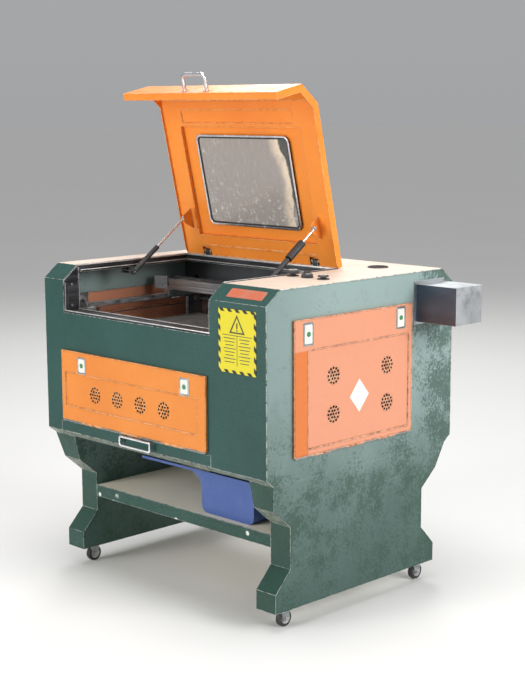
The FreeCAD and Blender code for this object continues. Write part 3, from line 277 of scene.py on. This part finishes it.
def sooty_frame(name):
    """A satin frame round a core that is dark with soot."""
    s = Shader(name)
    inner_x = s.math("LESS_THAN", s.math("ABSOLUTE", s.math("SUBTRACT", s.axis("X"), BED_MID.x)), CORE_HALF.x)
    inner_y = s.math("LESS_THAN", s.math("ABSOLUTE", s.math("SUBTRACT", s.axis("Y"), BED_MID.y)), CORE_HALF.y)
    core = s.math("MULTIPLY", inner_x, inner_y)
    soot = s.step(s.noise(7.0, 8, 0.7), 0.35, 0.75)
    metal = s.mix(soot, srgb(176, 174, 170), srgb(118, 108, 98))
    s.set(base_color=s.mix(s.math("MULTIPLY", core, 0.85), metal, srgb(38, 34, 32)), metallic=0.75)
    s.set(roughness=s.step(soot, 0, 1, 0.35, 0.6))
    return s.relief(s.noise(90.0, 4), 0.0002).material


def clear_tube():
    """Clear glass with a faint film."""
    s = Shader("tube_glass")
    film = s.noise(40.0, 5)
    s.set(base_color=s.mix(film, srgb(226, 234, 236), srgb(205, 218, 222)), transmission_weight=0.85)
    s.set(roughness=s.step(film, 0.3, 0.7, 0.03, 0.12))
    return s.relief(film, 0.00002).material


def door_border_shade(s):
    """Where the painted shade lies: the lower front strip of a side door, outside its pressed panel."""
    strip = s.step(s.axis("Y"), at(0, PANEL_START + 3, 0).y, at(0, PANEL_START - 3, 0).y)
    lower = s.step(s.axis("Z"), at(0, 0, PANEL_TOP + 3).z, at(0, 0, PANEL_TOP - 3).z)
    return s.math("MULTIPLY", s.math("MULTIPLY", strip, lower), 0.85)


PANEL_START, PANEL_TOP = 161.0, 815.0
BED_MID = (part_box("honeycomb_bed")[0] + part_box("honeycomb_bed")[1]) / 2
BED_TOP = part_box("honeycomb_bed")[1].z
CORE_HALF = (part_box("honeycomb_bed")[1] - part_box("honeycomb_bed")[0]) / 2 - Vector((0.044, 0.0141, 0.0))
WORN = srgb(196, 204, 196)
GREEN = powder_coat("green_paint", srgb(24, 70, 64), srgb(18, 62, 56), WORN, grime=0.2,
                    floor_bounce=srgb(150, 154, 142))
# A copy of the green paint for the side frames, with a painted highlight on faces to the left and right.
SIDE_GREEN = powder_coat("green_side_lit", srgb(30, 70, 61), srgb(23, 61, 52), WORN, mottle=srgb(44, 72, 60),
                         side_light=srgb(139, 159, 156), floor_bounce=srgb(142, 148, 136), fade=0.14)
BEAM_GREEN = powder_coat("green_chipped", srgb(30, 74, 65), srgb(24, 65, 55), WORN, chips=0.26)
CREAM = powder_coat("cream_paint", srgb(225, 207, 190), srgb(213, 195, 178), srgb(250, 246, 236), grime=0.2,
                    rough=0.5)
# A brighter copy of the cream paint for the shelf board: painted light against the shade under the cabinet.
BOARD_LIT = powder_coat("shelf_cream_lit", srgb(252, 244, 226), srgb(248, 236, 214), srgb(254, 250, 240), grime=0.1,
                    rough=0.6)
CHAMBER = powder_coat("chamber_paint", srgb(84, 88, 90), srgb(66, 70, 74), srgb(150, 150, 148), grime=0.8,
                      rough=0.6)
ORANGE = powder_coat("orange_paint", srgb(245, 147, 52), srgb(238, 134, 43), srgb(252, 206, 150), grime=0.1,
                     rough=0.36, border=0.3)
# A darker copy of the orange paint for the front door: painted shade.
FRONT_SHADED_ORANGE = powder_coat("orange_front_shaded", srgb(218, 131, 52), srgb(210, 122, 45), srgb(250, 204, 158),
                           grime=0.1, rough=0.4, border=0.5)
# A copy of the orange paint for the side doors, with a painted highlight on faces to the left and right and
# painted shade on the lower front strip.
SIDE_ORANGE = powder_coat("orange_side_lit", srgb(222, 132, 62), srgb(214, 122, 52), srgb(246, 206, 170),
                          grime=0.12, rough=0.4, side_light=srgb(214, 144, 113),
                          painted_shade=(srgb(205, 106, 30), door_border_shade))
TRIM = brushed("trim_steel", srgb(80, 82, 86), srgb(40, 42, 46), (5.0, 5.0, 60.0), 0.4, 0.9, 0.5, 0.95)
BARE = brushed("bare_steel", srgb(100, 110, 125), srgb(80, 90, 105), (3.0, 10.0, 10.0), 0.4, 1.0, 0.45,
               ends=srgb(196, 200, 203))
ZINC = brushed("zinc", srgb(190, 192, 194), srgb(140, 142, 146), (30.0, 30.0, 90.0), 0.34, 1.0, 0.25)
ALUMINIUM = brushed("aluminium", srgb(206, 208, 210), srgb(166, 168, 172), (3.0, 300.0, 300.0), 0.32, 1.0,
                    0.12)
CHROME = polished("chrome", srgb(226, 226, 230))
DARK = moulded("dark_plastic", srgb(34, 34, 37), 0.45)
BLUE = moulded("blue_plastic", srgb(58, 86, 150), 0.42, 0.00008, 0.1)
RUBBER = moulded("rubber", srgb(26, 26, 28), 0.72, 0.0001, 0.22, 300.0)
TREAD = moulded("wheel_rubber", srgb(40, 40, 43), 0.5, 0.0001, 0.3, 300.0)
BRASS = brushed("brass", srgb(204, 164, 84), srgb(168, 128, 58), (60.0, 60.0, 60.0), 0.3, 1.0, 0.2)
PANE = smoked_pane()
TUBE = clear_tube()

FINISH = {"green_paint": GREEN, "cream_paint": CREAM, "grey_paint": CHAMBER, "orange_paint": ORANGE,
          "bare_steel": BARE, "zinc": ZINC, "aluminium": ALUMINIUM, "chrome": CHROME, "dark_plastic": DARK,
          "blue_plastic": BLUE, "rubber": RUBBER, "belt_rubber": RUBBER, "wheel_rubber": TREAD,
          "smoked_window": PANE, "tube_glass": TUBE}
for entry in frame["record"]["subparts"]:
    mesh = frame["nodes"][entry["node"]].data
    mesh.materials.clear()
    mesh.materials.append(FINISH[entry["material_slot"]])
SPECIAL = {"shelf_frame": BEAM_GREEN, "side_frame_left": SIDE_GREEN, "side_frame_right": SIDE_GREEN,
           "front_door": FRONT_SHADED_ORANGE, "left_door": SIDE_ORANGE, "right_door": SIDE_ORANGE,
           "shelf_board": BOARD_LIT, "opening_trim": TRIM, "honeycomb_bed": sooty_frame("bed_metal"),
           "hinge_pins": TRIM}
for name, material in SPECIAL.items():
    frame["nodes"][name].data.materials[0] = material


# Piece building

def finish_piece(name, bm, material, body, turn=None, bevel=0.0, smooth=True):
    """Makes the object from bm, rounds its edges by bevel metres, and hands it to its body."""
    if turn is not None:
        bm.transform(turn)
    bmesh.ops.recalc_face_normals(bm, faces=bm.faces)
    data = bpy.data.meshes.new(name)
    bm.to_mesh(data)
    bm.free()
    data.materials.append(material)
    piece = bpy.data.objects.new(name, data)
    bpy.context.scene.collection.objects.link(piece)
    if bevel:
        rounding = piece.modifiers.new("round", "BEVEL")
        rounding.width = bevel
        rounding.segments = 3
        rounding.limit_method = "ANGLE"
    if smooth:
        data.shade_smooth()
        data.set_sharp_from_angle(angle=math.radians(35))
    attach(piece, body)
    return piece


def rounded(width, height, radius, steps=6, centre=(0.0, 0.0)):
    """A rounded rectangle's corners, anticlockwise, in mm."""
    points = []
    for sx, sy, start in ((1, 1, 0), (-1, 1, 90), (-1, -1, 180), (1, -1, 270)):
        for i in range(steps + 1):
            a = math.radians(start + 90 * i / steps)
            points.append((centre[0] + sx * (width / 2 - radius) + radius * math.cos(a),
                           centre[1] + sy * (height / 2 - radius) + radius * math.sin(a)))
    return points


def prism(bm, outline, place, low, high):
    """Extrudes a 2D outline from low to high; place turns (u, v, w) in mm into a row-frame point."""
    ends = [[bm.verts.new(place(u, v, w)) for u, v in outline] for w in (low, high)]
    bm.faces.new(ends[0][::-1])
    bm.faces.new(ends[1])
    for i in range(len(outline)):
        j = (i + 1) % len(outline)
        bm.faces.new((ends[0][i], ends[0][j], ends[1][j], ends[1][i]))


def hoop(bm, outer, inner, place, low, high):
    """A frame between two outlines with the same number of corners."""
    loops = [[bm.verts.new(place(u, v, w)) for u, v in line] for line, w in
             ((outer, low), (outer, high), (inner, high), (inner, low))]
    count = len(outer)
    for k in range(4):
        a, b = loops[k], loops[(k + 1) % 4]
        for i in range(count):
            j = (i + 1) % count
            bm.faces.new((a[i], a[j], b[j], b[i]))


def lathe(bm, profile, centre, axis, steps=40, ring=False):
    """Turns a (radius, height) profile in mm round an axis through centre, closed at both ends.

    A ring keeps its middle open."""
    turn = Vector((0, 0, 1)).rotation_difference(Vector(axis).normalized()).to_matrix()
    loops = []
    for radius, height in profile:
        loop = []
        for i in range(steps):
            a = 2 * math.pi * i / steps
            spoke = Vector((radius * math.cos(a), radius * math.sin(a), height))
            loop.append(bm.verts.new(centre + turn @ spoke / 1000))
        loops.append(loop)
    after = loops[1:] + loops[:1] if ring else loops[1:]
    for a, b in zip(loops, after):
        for i in range(steps):
            j = (i + 1) % steps
            bm.faces.new((a[i], a[j], b[j], b[i]))
    if not ring:
        bm.faces.new(loops[0][::-1])
        bm.faces.new(loops[-1])


def on_front(u, v, w):
    """u to the right, v up, w out of the front face."""
    return at(u, -w, v)


def on_right(u, v, w):
    """u to the back, v up, w out of the right face."""
    return at(WIDTH * 1000 + w, u, v)


def on_left(u, v, w):
    """u to the back, v up, w out of the left face."""
    return at(-w, u, v)


def on_deck(u, v, w):
    """u to the right, v to the back, w up from the deck's top."""
    return at(u, v, DECK * 1000 + w)


LID_UNDER = 1020.0


def under_lid(u, v, w):
    """u to the right, v to the back, w down from the lid sheet's underside, with the lid shut."""
    return at(u, v, LID_UNDER - w)


# Latches

def centre_of(node, index, axis_u):
    """Centre, width and height in mm of one of a node's two plates, lower u first."""
    points = [v.co - ORIGIN for v in frame["nodes"][node].data.vertices]
    middle = sum(p[axis_u] for p in points) / len(points)
    side = [p for p in points if (p[axis_u] > middle) == bool(index)]
    us = [p[axis_u] * 1000 for p in side]
    vs = [p.z * 1000 for p in side]
    return (min(us) + max(us)) / 2, (min(vs) + max(vs)) / 2, max(us) - min(us), max(vs) - min(vs)


DOOR_FACE = 8.0  # mm from the cabinet's face out to a door's outer side
LATCH_WHITE = moulded("latch_white", srgb(222, 222, 214), 0.35, dust=0.3)
CORE_GREEN = moulded("latch_core", srgb(44, 128, 74), 0.4, dust=0.25)


def latches(door, node, place, axis_u):
    """A frame round each push plate, a pale face on it, and a green lock core."""
    for index in (0, 1):
        u, v, w, h = centre_of(node, index, axis_u)
        bm = bmesh.new()
        outer = rounded(w + 7, h + 7, 5, centre=(u, v))
        inner = rounded(w + 1.6, h + 1.6, 0.6, centre=(u, v))
        hoop(bm, outer, inner, place, DOOR_FACE - 0.4, DOOR_FACE + 1.4)
        finish_piece(f"{node}_frame_{index}", bm, ZINC, door, bevel=0.0006)
        bm = bmesh.new()
        pale = rounded(w * 0.92, h * 0.92, 4, centre=(u, v))
        prism(bm, pale, place, DOOR_FACE, DOOR_FACE + 1.2)
        finish_piece(f"{node}_face_{index}", bm, LATCH_WHITE, node, bevel=0.0006)
        bm = bmesh.new()
        lathe(bm, [(0.1, 1.0), (7.5, 1.0), (7.5, 2.2), (6.6, 2.8), (2.0, 2.8), (1.6, 2.2), (0.1, 2.2)],
              place(u, v, DOOR_FACE), place(u, v, 1) - place(u, v, 0), 28)
        finish_piece(f"{node}_core_{index}", bm, CORE_GREEN, node)


latches("front_door", "front_latches", on_front, 0)
latches("right_door", "right_latches", on_right, 1)
latches("left_door", "left_latches", on_left, 1)


# Plates stuck on: hazard plate, red plate, rhombus

def hazard_material(x0, x1, z0, z1):
    """Yellow with a border of slanted black stripes."""
    s = Shader("hazard_plate")
    x, z = s.axis("X"), s.axis("Z")
    band, pitch = 0.0085, 0.031

    def between(value, start, end):
        return s.math("MULTIPLY", s.math("GREATER_THAN", value, start), s.math("LESS_THAN", value, end))

    inside = s.math("MULTIPLY", between(x, x0 + band, x1 - band), between(z, z0 + band, z1 - band))
    wave = s.math("SINE", s.math("MULTIPLY", s.math("ADD", x, z), 2 * math.pi / pitch))
    stripe = s.math("MULTIPLY", s.math("GREATER_THAN", wave, 0.0), s.math("SUBTRACT", 1.0, inside))
    fade = s.step(s.noise(40.0, 8, 0.7), 0.45, 0.8)
    yellow = s.mix(s.math("MULTIPLY", fade, 0.3), srgb(214, 200, 22), srgb(196, 186, 90))
    color = s.mix(stripe, yellow, srgb(26, 28, 24))
    s.set(base_color=color, roughness=s.step(fade, 0, 1, 0.3, 0.5))
    return s.relief(s.noise(120.0, 3), 0.00005, 1.0, 0.0005).material


PLATE_X, PLATE_Z = (812.0, 962.0), (755.0, 936.0)
low, high = at(PLATE_X[0], 0, PLATE_Z[0]), at(PLATE_X[1], 0, PLATE_Z[1])
HAZARD = hazard_material(low.x, high.x, low.z, high.z)
INK = moulded("plate_ink", srgb(30, 32, 26), 0.5)
plate_mid = (sum(PLATE_X) / 2, sum(PLATE_Z) / 2)
bm = bmesh.new()
prism(bm, rounded(PLATE_X[1] - PLATE_X[0], PLATE_Z[1] - PLATE_Z[0], 3, centre=plate_mid), on_front, 0.0, 1.0)
finish_piece("hazard_plate", bm, HAZARD, "cabinet", bevel=0.0003)
bm = bmesh.new()
tri = [(plate_mid[0] - 31, 868), (plate_mid[0] + 31, 868), (plate_mid[0], 921)]
small = [(plate_mid[0] - 23.5, 872), (plate_mid[0] + 23.5, 872), (plate_mid[0], 912.5)]
hoop(bm, tri, small, on_front, 0.9, 1.3)
prism(bm, rounded(5, 17, 2, 4, (plate_mid[0], 890)), on_front, 0.9, 1.3)
prism(bm, rounded(5, 5, 2, 4, (plate_mid[0], 877)), on_front, 0.9, 1.3)
prism(bm, rounded(118, 1.8, 0.8, 3, (plate_mid[0], 862)), on_front, 0.9, 1.3)
prism(bm, rounded(1.8, 84, 0.8, 3, (plate_mid[0], 819)), on_front, 0.9, 1.3)
for column in (-1, 1):
    for row in range(8):
        width = 34 + 7 * ((row * 5 + column) % 3)
        middle = (plate_mid[0] + column * 30, 853 - row * 9.6)
        prism(bm, rounded(width, 2.2, 1.0, 3, middle), on_front, 0.9, 1.2)
finish_piece("hazard_sign", bm, INK, "cabinet")

CHAMFER_Z = 954.0
RED_MID = (898.0, 36.0)
RED_PLATE = moulded("red_plate", srgb(190, 96, 62), 0.45, dust=0.6)
chamfer_low, chamfer_high = at(0, 0, CHAMFER_Z), at(0, 54, DECK * 1000)
slope = (chamfer_high - chamfer_low).normalized()
outward = Vector((0, -slope.z, slope.y))


def on_chamfer(u, v, w):
    """u to the right, v up the chamfer, w out of it."""
    return at(u, 0, CHAMFER_Z) + slope * v / 1000 + outward * w / 1000


bm = bmesh.new()
prism(bm, rounded(142, 34, 4, centre=RED_MID), on_chamfer, 0.0, 1.2)
hoop(bm, rounded(132, 24, 3, centre=RED_MID), rounded(128, 20, 2, centre=RED_MID), on_chamfer, 1.1, 1.5)
finish_piece("red_plate", bm, RED_PLATE, "cabinet", bevel=0.0004)

RHOMBUS = ((337, 656), (379, 606), (421, 656), (379, 706))
WHITE = moulded("white_plate", srgb(232, 228, 220), 0.45, dust=0.3)
bm = bmesh.new()
prism(bm, RHOMBUS, on_right, 5.4, 6.4)
finish_piece("rhombus_plate", bm, WHITE, "right_door", bevel=0.0004)


# Bright bead round the lid's window
WINDOW_MID = (436.0, 294.5)
bm = bmesh.new()
outer, inner = rounded(419, 302, 23, centre=WINDOW_MID), rounded(406, 289, 17, centre=WINDOW_MID)
hoop(bm, outer, inner, under_lid, 7.0, 9.8)
finish_piece("window_bead", bm, CHROME, "lid", LID_TURN, 0.0009)

# Bright beads along the lips of the opening's trim and the deck's cut edge
BEAD = brushed("bright_bead", srgb(232, 232, 228), srgb(176, 176, 172), (40.0, 40.0, 40.0), 0.35, 0.7, 0.55)


def bead(name, x, y, z):
    """A rounded strip that fills the given spans in mm."""
    bm = bmesh.new()
    spans = [x[1] - x[0], y[1] - y[0]]
    outline = rounded(spans[0], spans[1], min(spans) * 0.35, 3, (sum(x) / 2, sum(y) / 2))
    prism(bm, outline, at, z[0], z[1])
    finish_piece(name, bm, BEAD, "cabinet", bevel=0.0004)


bead("bead_sill_front", (99, 772), (1.4, 4.6), (856.2, 858.6))
bead("bead_sill_rear", (99, 772), (55.4, 58.6), (856.2, 858.6))
bead("bead_ledge_left", (109.4, 112.6), (60, 512), (980.2, 982.4))
bead("bead_ledge_right", (758.4, 761.6), (60, 512), (980.2, 982.4))
bead("bead_ledge_rear", (113, 758), (511.4, 514.6), (980.2, 982.4))
bead("bead_deck_left", (95.4, 98.4), (58, 528), (996.4, 999.4))
bead("bead_deck_right", (772.6, 775.6), (58, 528), (996.4, 999.4))
bead("bead_deck_rear", (98, 773), (525.4, 528.6), (996.4, 999.4))

# Rubber ring in the deck's round port
PORT = (843.0, 648.0)
bm = bmesh.new()
lathe(bm, [(24.5, -6), (31, -5), (31, -2.6), (26.2, -2.2), (26.2, 0.4), (32, 0.6), (32.5, 2.6), (30, 3.8),
           (26, 4.0), (24.5, 2.6), (24.3, 0)], at(*PORT, DECK * 1000), (0, 0, 1), 48)
finish_piece("port_ring", bm, RUBBER, "cabinet")


# Controls: a ribbed skirt and a pale inlay on each cap

def toothed(radius, depth, count, centre):
    """A circle's outline in mm with count square teeth."""
    points = []
    for i in range(count * 4):
        a = 2 * math.pi * i / (count * 4)
        r = radius + (depth if i % 4 in (1, 2) else 0.0)
        points.append((centre[0] + r * math.cos(a), centre[1] + r * math.sin(a)))
    return points


# Node, radius of the skirt, radius of the inlay, skirt's foot and cap's top above the deck, in mm
CONTROLS = (("emergency_stop", 18.0, 13.5, 9.5, 19.0), ("key_switch", 16.0, 11.0, 3.6, 12.0),
            ("start_button", 15.0, 11.0, 7.5, 13.0))
for node, radius, inlay, foot, top in CONTROLS:
    low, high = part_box(node)
    u, v = ((low + high) / 2 - ORIGIN).xy * 1000
    bm = bmesh.new()
    outer, inner = toothed(radius, 1.3, 22, (u, v)), toothed(radius - 0.8, 0.0, 22, (u, v))
    hoop(bm, outer, inner, on_deck, foot, top - 2.2)
    finish_piece(f"{node}_skirt", bm, DARK, node, bevel=0.0003)
    bm = bmesh.new()
    outline = rounded(inlay * 2, inlay * 2, inlay - 0.2, 8, (u, v))
    inner = rounded(inlay * 1.2, inlay * 1.2, inlay * 0.58, 8, (u, v))
    hoop(bm, outline, inner, on_deck, top - 0.5, top + 0.6)
    finish_piece(f"{node}_inlay", bm, LATCH_WHITE, node, bevel=0.0003)

# Castors: stepped hub faces on the wheels, hexagon nuts on the forks
for corner in ("front_left", "front_right", "rear_left", "rear_right"):
    low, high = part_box(f"castor_wheel_{corner}")
    hub = (low + high) / 2
    for side, word in ((-1, "left"), (1, "right")):
        face = Vector((hub.x + side * (high.x - low.x) / 2, hub.y, hub.z))
        bm = bmesh.new()
        lathe(bm, [(3.3, 0.0), (16.5, 0.0), (16.5, 0.5), (15.0, 0.7), (13.8, 0.25), (8.2, 0.25), (7.4, 0.7),
                   (3.3, 0.7)], face, (side, 0, 0), 32, ring=True)
        finish_piece(f"castor_hub_{corner}_{word}", bm, ZINC, f"castor_wheel_{corner}")
        bm = bmesh.new()
        nut = Vector((hub.x + side * 0.0126, hub.y, hub.z))
        lathe(bm, [(6.4, 0.0), (6.4, 2.2), (5.4, 3.0), (3.1, 3.0), (3.1, 3.6), (0.1, 3.9)], nut,
              (side, 0, 0), 6)
        finish_piece(f"castor_nut_{corner}_{word}", bm, ZINC, f"castor_fork_{corner}")

# Laser head: thumb screws on the mirror block, brass collar round the nozzle
low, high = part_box("laser_head")
head_x = (low.x + high.x) / 2
head_y = low.y + 0.017
for index, (dx, dz) in enumerate(((-11, -7), (11, -7), (0, -19))):
    bm = bmesh.new()
    screw = Vector((head_x + dx / 1000, low.y + 0.002, high.z + dz / 1000 - 0.012))
    lathe(bm, [(0.1, 0.0), (2.0, 0.0), (2.0, 4.0), (4.2, 4.0), (4.6, 4.6), (4.6, 8.0), (4.0, 8.8),
               (0.1, 8.8)], screw, (0, -1, 0), 20)
    finish_piece(f"head_thumbscrew_{index}", bm, BRASS, "laser_head")
bm = bmesh.new()
lathe(bm, [(14.2, 0.0), (15.6, 0.6), (15.6, 3.2), (14.6, 4.0), (15.6, 4.8), (15.6, 7.4), (14.2, 8.0)],
      Vector((head_x, head_y, low.z + 0.016)), (0, 0, 1), 32)
finish_piece("head_knurl", bm, BRASS, "laser_head")

# Honeycomb cells: thin foil walls standing in the bed's recess
FOIL = brushed("foil", srgb(158, 154, 148), srgb(104, 98, 92), (40.0, 40.0, 40.0), 0.4, 0.9, 0.5, 0.2)
CELL = 13.0


def cell_walls():
    """The walls of all cells as pairs of ends, in mm from the bed's middle.

    A wall that two cells share is kept once, except for the few whose key rounds two ways."""
    walls = {}
    half_x, half_y = CORE_HALF.x * 1000, CORE_HALF.y * 1000
    radius = CELL / math.sqrt(3)
    for j in range(-40, 41):
        for i in range(-40, 41):
            cx, cy = (i + (j % 2) / 2) * CELL, j * CELL * math.sqrt(3) / 2
            if abs(cx) > half_x - CELL / 2 - 0.5 or abs(cy) > half_y - radius - 0.5:
                continue
            corners = [(cx + radius * math.sin(k * math.pi / 3), cy + radius * math.cos(k * math.pi / 3))
                       for k in range(6)]
            for a, b in zip(corners, corners[1:] + corners[:1]):
                walls[(round(a[0] + b[0]), round(a[1] + b[1]))] = (a, b)
    return walls.values()


def on_bed(u, v, w):
    """u to the right and v to the back from the bed's middle, w up from its top."""
    return Vector((BED_MID.x + u / 1000, BED_MID.y + v / 1000, BED_TOP + w / 1000))


bm = bmesh.new()
for (ax, ay), (bx, by) in cell_walls():
    nx, ny = (by - ay) / CELL * 0.5, (ax - bx) / CELL * 0.5
    outline = [(ax + nx, ay + ny), (ax - nx, ay - ny), (bx - nx, by - ny), (bx + nx, by + ny)]
    prism(bm, outline, on_bed, -2.0, -0.2)
finish_piece("bed_cells", bm, FOIL, "bed", smooth=False)

# Electronics in the bay: cooling fins, terminals, slots, fan guard
BAY_LOW, BAY_HIGH = [(corner - ORIGIN) * 1000 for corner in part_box("bay_electronics")]


def bay_face(depth):
    """u to the back, v up, w out to the right from a face that many mm from the bay's wall."""
    return lambda u, v, w: at(BAY_LOW.x + depth + w, u, v)


for index, start in enumerate((180, 290)):
    bm = bmesh.new()
    for k in range(9):
        prism(bm, rounded(2.4, 92, 1.1, 3, (start + 11 + k * 6, 615)), bay_face(28), 0.0, 9.0)
    finish_piece(f"driver_fins_{index}", bm, ALUMINIUM, "cabinet", bevel=0.0002)


def terminals(name, place, u, v, count):
    """A row of screw terminals between raised walls."""
    bm = bmesh.new()
    length = count * 14 + 4
    prism(bm, rounded(length, 16, 2, 4, (u, v)), place, 0.0, 7.0)
    for k in range(count + 1):
        prism(bm, rounded(2.4, 16, 1, 3, (u - length / 2 + 2 + k * 14, v)), place, 6.5, 11.0)
    finish_piece(f"{name}_block", bm, DARK, "cabinet", bevel=0.0003)
    bm = bmesh.new()
    for k in range(count):
        middle = u - length / 2 + 9 + k * 14
        lathe(bm, [(0.1, 6.5), (4.2, 6.5), (4.2, 8.6), (3.6, 9.2), (1.2, 9.2), (0.9, 8.4), (0.1, 8.4)],
              place(middle, v, 0.0), (1, 0, 0), 16)
    finish_piece(f"{name}_screws", bm, BRASS, "cabinet")


terminals("controller_terminals", bay_face(34), 280, 714, 14)
terminals("supply_terminals", bay_face(BAY_HIGH.x - BAY_LOW.x), 240, BAY_LOW.z + 30, 7)
bm = bmesh.new()
for k in range(14):
    prism(bm, rounded(5, 56, 2.4, 5, (196 + k * 13, 790)), bay_face(34), 0.0, 0.8)
finish_piece("controller_slots", bm, DARK, "cabinet")

fan = (368.0, BAY_LOW.z + 88)
supply_face = bay_face(BAY_HIGH.x - BAY_LOW.x)
bm = bmesh.new()
prism(bm, rounded(90, 90, 8, 6, fan), supply_face, 0.0, 2.0)
finish_piece("fan_well", bm, DARK, "cabinet", bevel=0.0005)
bm = bmesh.new()
for radius in (12.0, 20.0, 28.0, 36.0):
    hoop(bm, rounded(2 * radius + 2, 2 * radius + 2, radius + 0.9, 8, fan),
         rounded(2 * radius - 1, 2 * radius - 1, radius - 0.6, 8, fan), supply_face, 4.0, 5.6)
for turn in range(4):
    a = math.pi / 4 + turn * math.pi / 2
    ends = [(fan[0] + r * math.cos(a), fan[1] + r * math.sin(a)) for r in (9.0, 52.0)]
    nx, ny = -math.sin(a), math.cos(a)
    prism(bm, [(ends[0][0] + nx, ends[0][1] + ny), (ends[0][0] - nx, ends[0][1] - ny),
               (ends[1][0] - nx, ends[1][1] - ny), (ends[1][0] + nx, ends[1][1] + ny)], supply_face, 1.8, 4.2)
finish_piece("fan_guard", bm, ZINC, "cabinet", bevel=0.0003)


# Floor, light and camera

def floor():
    data = bpy.data.meshes.new("floor")
    size = 200.0
    corners = [(-size, -size, 0), (size, -size, 0), (size, size, 0), (-size, size, 0)]
    data.from_pydata(corners, [], [(0, 1, 2, 3)])
    s = Shader("floor_pale")
    tone = s.mix(s.noise(0.7, 3), srgb(222, 221, 219), srgb(226, 225, 223))
    s.set(base_color=tone, roughness=s.step(s.noise(6.0, 3), 0.3, 0.7, 0.8, 0.9), specular_ior_level=0.1)
    data.materials.append(s.material)
    plane = bpy.data.objects.new("floor", data)
    bpy.context.scene.collection.objects.link(plane)


def area_light(name, place, target, size, power):
    data = bpy.data.lights.new(name, "AREA")
    data.shape = "DISK"
    data.size = size
    data.energy = power
    lamp = bpy.data.objects.new(name, data)
    lamp.location = place
    lamp.rotation_euler = (Vector(target) - Vector(place)).to_track_quat("-Z", "Y").to_euler()
    bpy.context.scene.collection.objects.link(lamp)


def world():
    """Pale studio surround, dimmer towards the horizon so that floor and surround meet unseen."""
    made = bpy.data.worlds.new("studio")
    made.use_nodes = True
    nodes, links = made.node_tree.nodes, made.node_tree.links
    direction = nodes.new("ShaderNodeTexCoord")
    parts = nodes.new("ShaderNodeSeparateXYZ")
    height = nodes.new("ShaderNodeMapRange")
    height.inputs["From Min"].default_value = 0.0
    height.inputs["From Max"].default_value = 1.0
    height.inputs["To Min"].default_value = WORLD_LOW
    height.inputs["To Max"].default_value = WORLD_HIGH
    links.new(direction.outputs["Generated"], parts.inputs[0])
    links.new(parts.outputs["Z"], height.inputs["Value"])
    made.node_tree.nodes["Background"].inputs["Color"].default_value = (0.97, 0.985, 1.0, 1.0)
    links.new(height.outputs[0], made.node_tree.nodes["Background"].inputs["Strength"])
    bpy.context.scene.world = made


def camera():
    """Stands to the front right of the machine, half a metre above its deck, looking slightly down."""
    data = bpy.data.cameras.new("camera")
    data.lens = 74.18
    data.sensor_width = 36.0
    data.clip_end = 100.0
    yaw, pitch, roll = math.radians(-45.169), math.radians(9.698), math.radians(-0.257)
    forward = Vector((math.sin(yaw) * math.cos(pitch), math.cos(yaw) * math.cos(pitch), -math.sin(pitch)))
    right = Vector((math.cos(yaw), -math.sin(yaw), 0.0))
    up = right.cross(forward)
    right, up = (right * math.cos(roll) + up * math.sin(roll), up * math.cos(roll) - right * math.sin(roll))
    eye = bpy.data.objects.new("camera", data)
    frame_axes = Matrix((right, up, -forward)).transposed().to_4x4()
    eye.matrix_world = Matrix.Translation(at(3740.8, -2738.2, 1498.4)) @ frame_axes
    bpy.context.scene.collection.objects.link(eye)
    bpy.context.scene.camera = eye


WORLD_LOW = 0.377
WORLD_HIGH = 0.57

floor()
world()
area_light("key_right", (4.6, 0.9, 2.4), (0.2, 0.0, 0.7), 2.6, 175)
area_light("top", (0.2, -0.4, 4.6), (0.0, 0.0, 0.6), 2.6, 96)
area_light("back_high", (-3.2, 3.4, 4.2), (0.0, 0.0, 1.0), 2.2, 95)
area_light("front_fill", (-0.8, -4.6, 2.3), (0.0, 0.0, 0.6), 2.6, 70)
area_light("front_low", (-1.1, -3.3, 1.0), (0.0, 0.0, 0.3), 1.4, 34)
camera()
bpy.context.scene.view_settings.view_transform = "Standard"
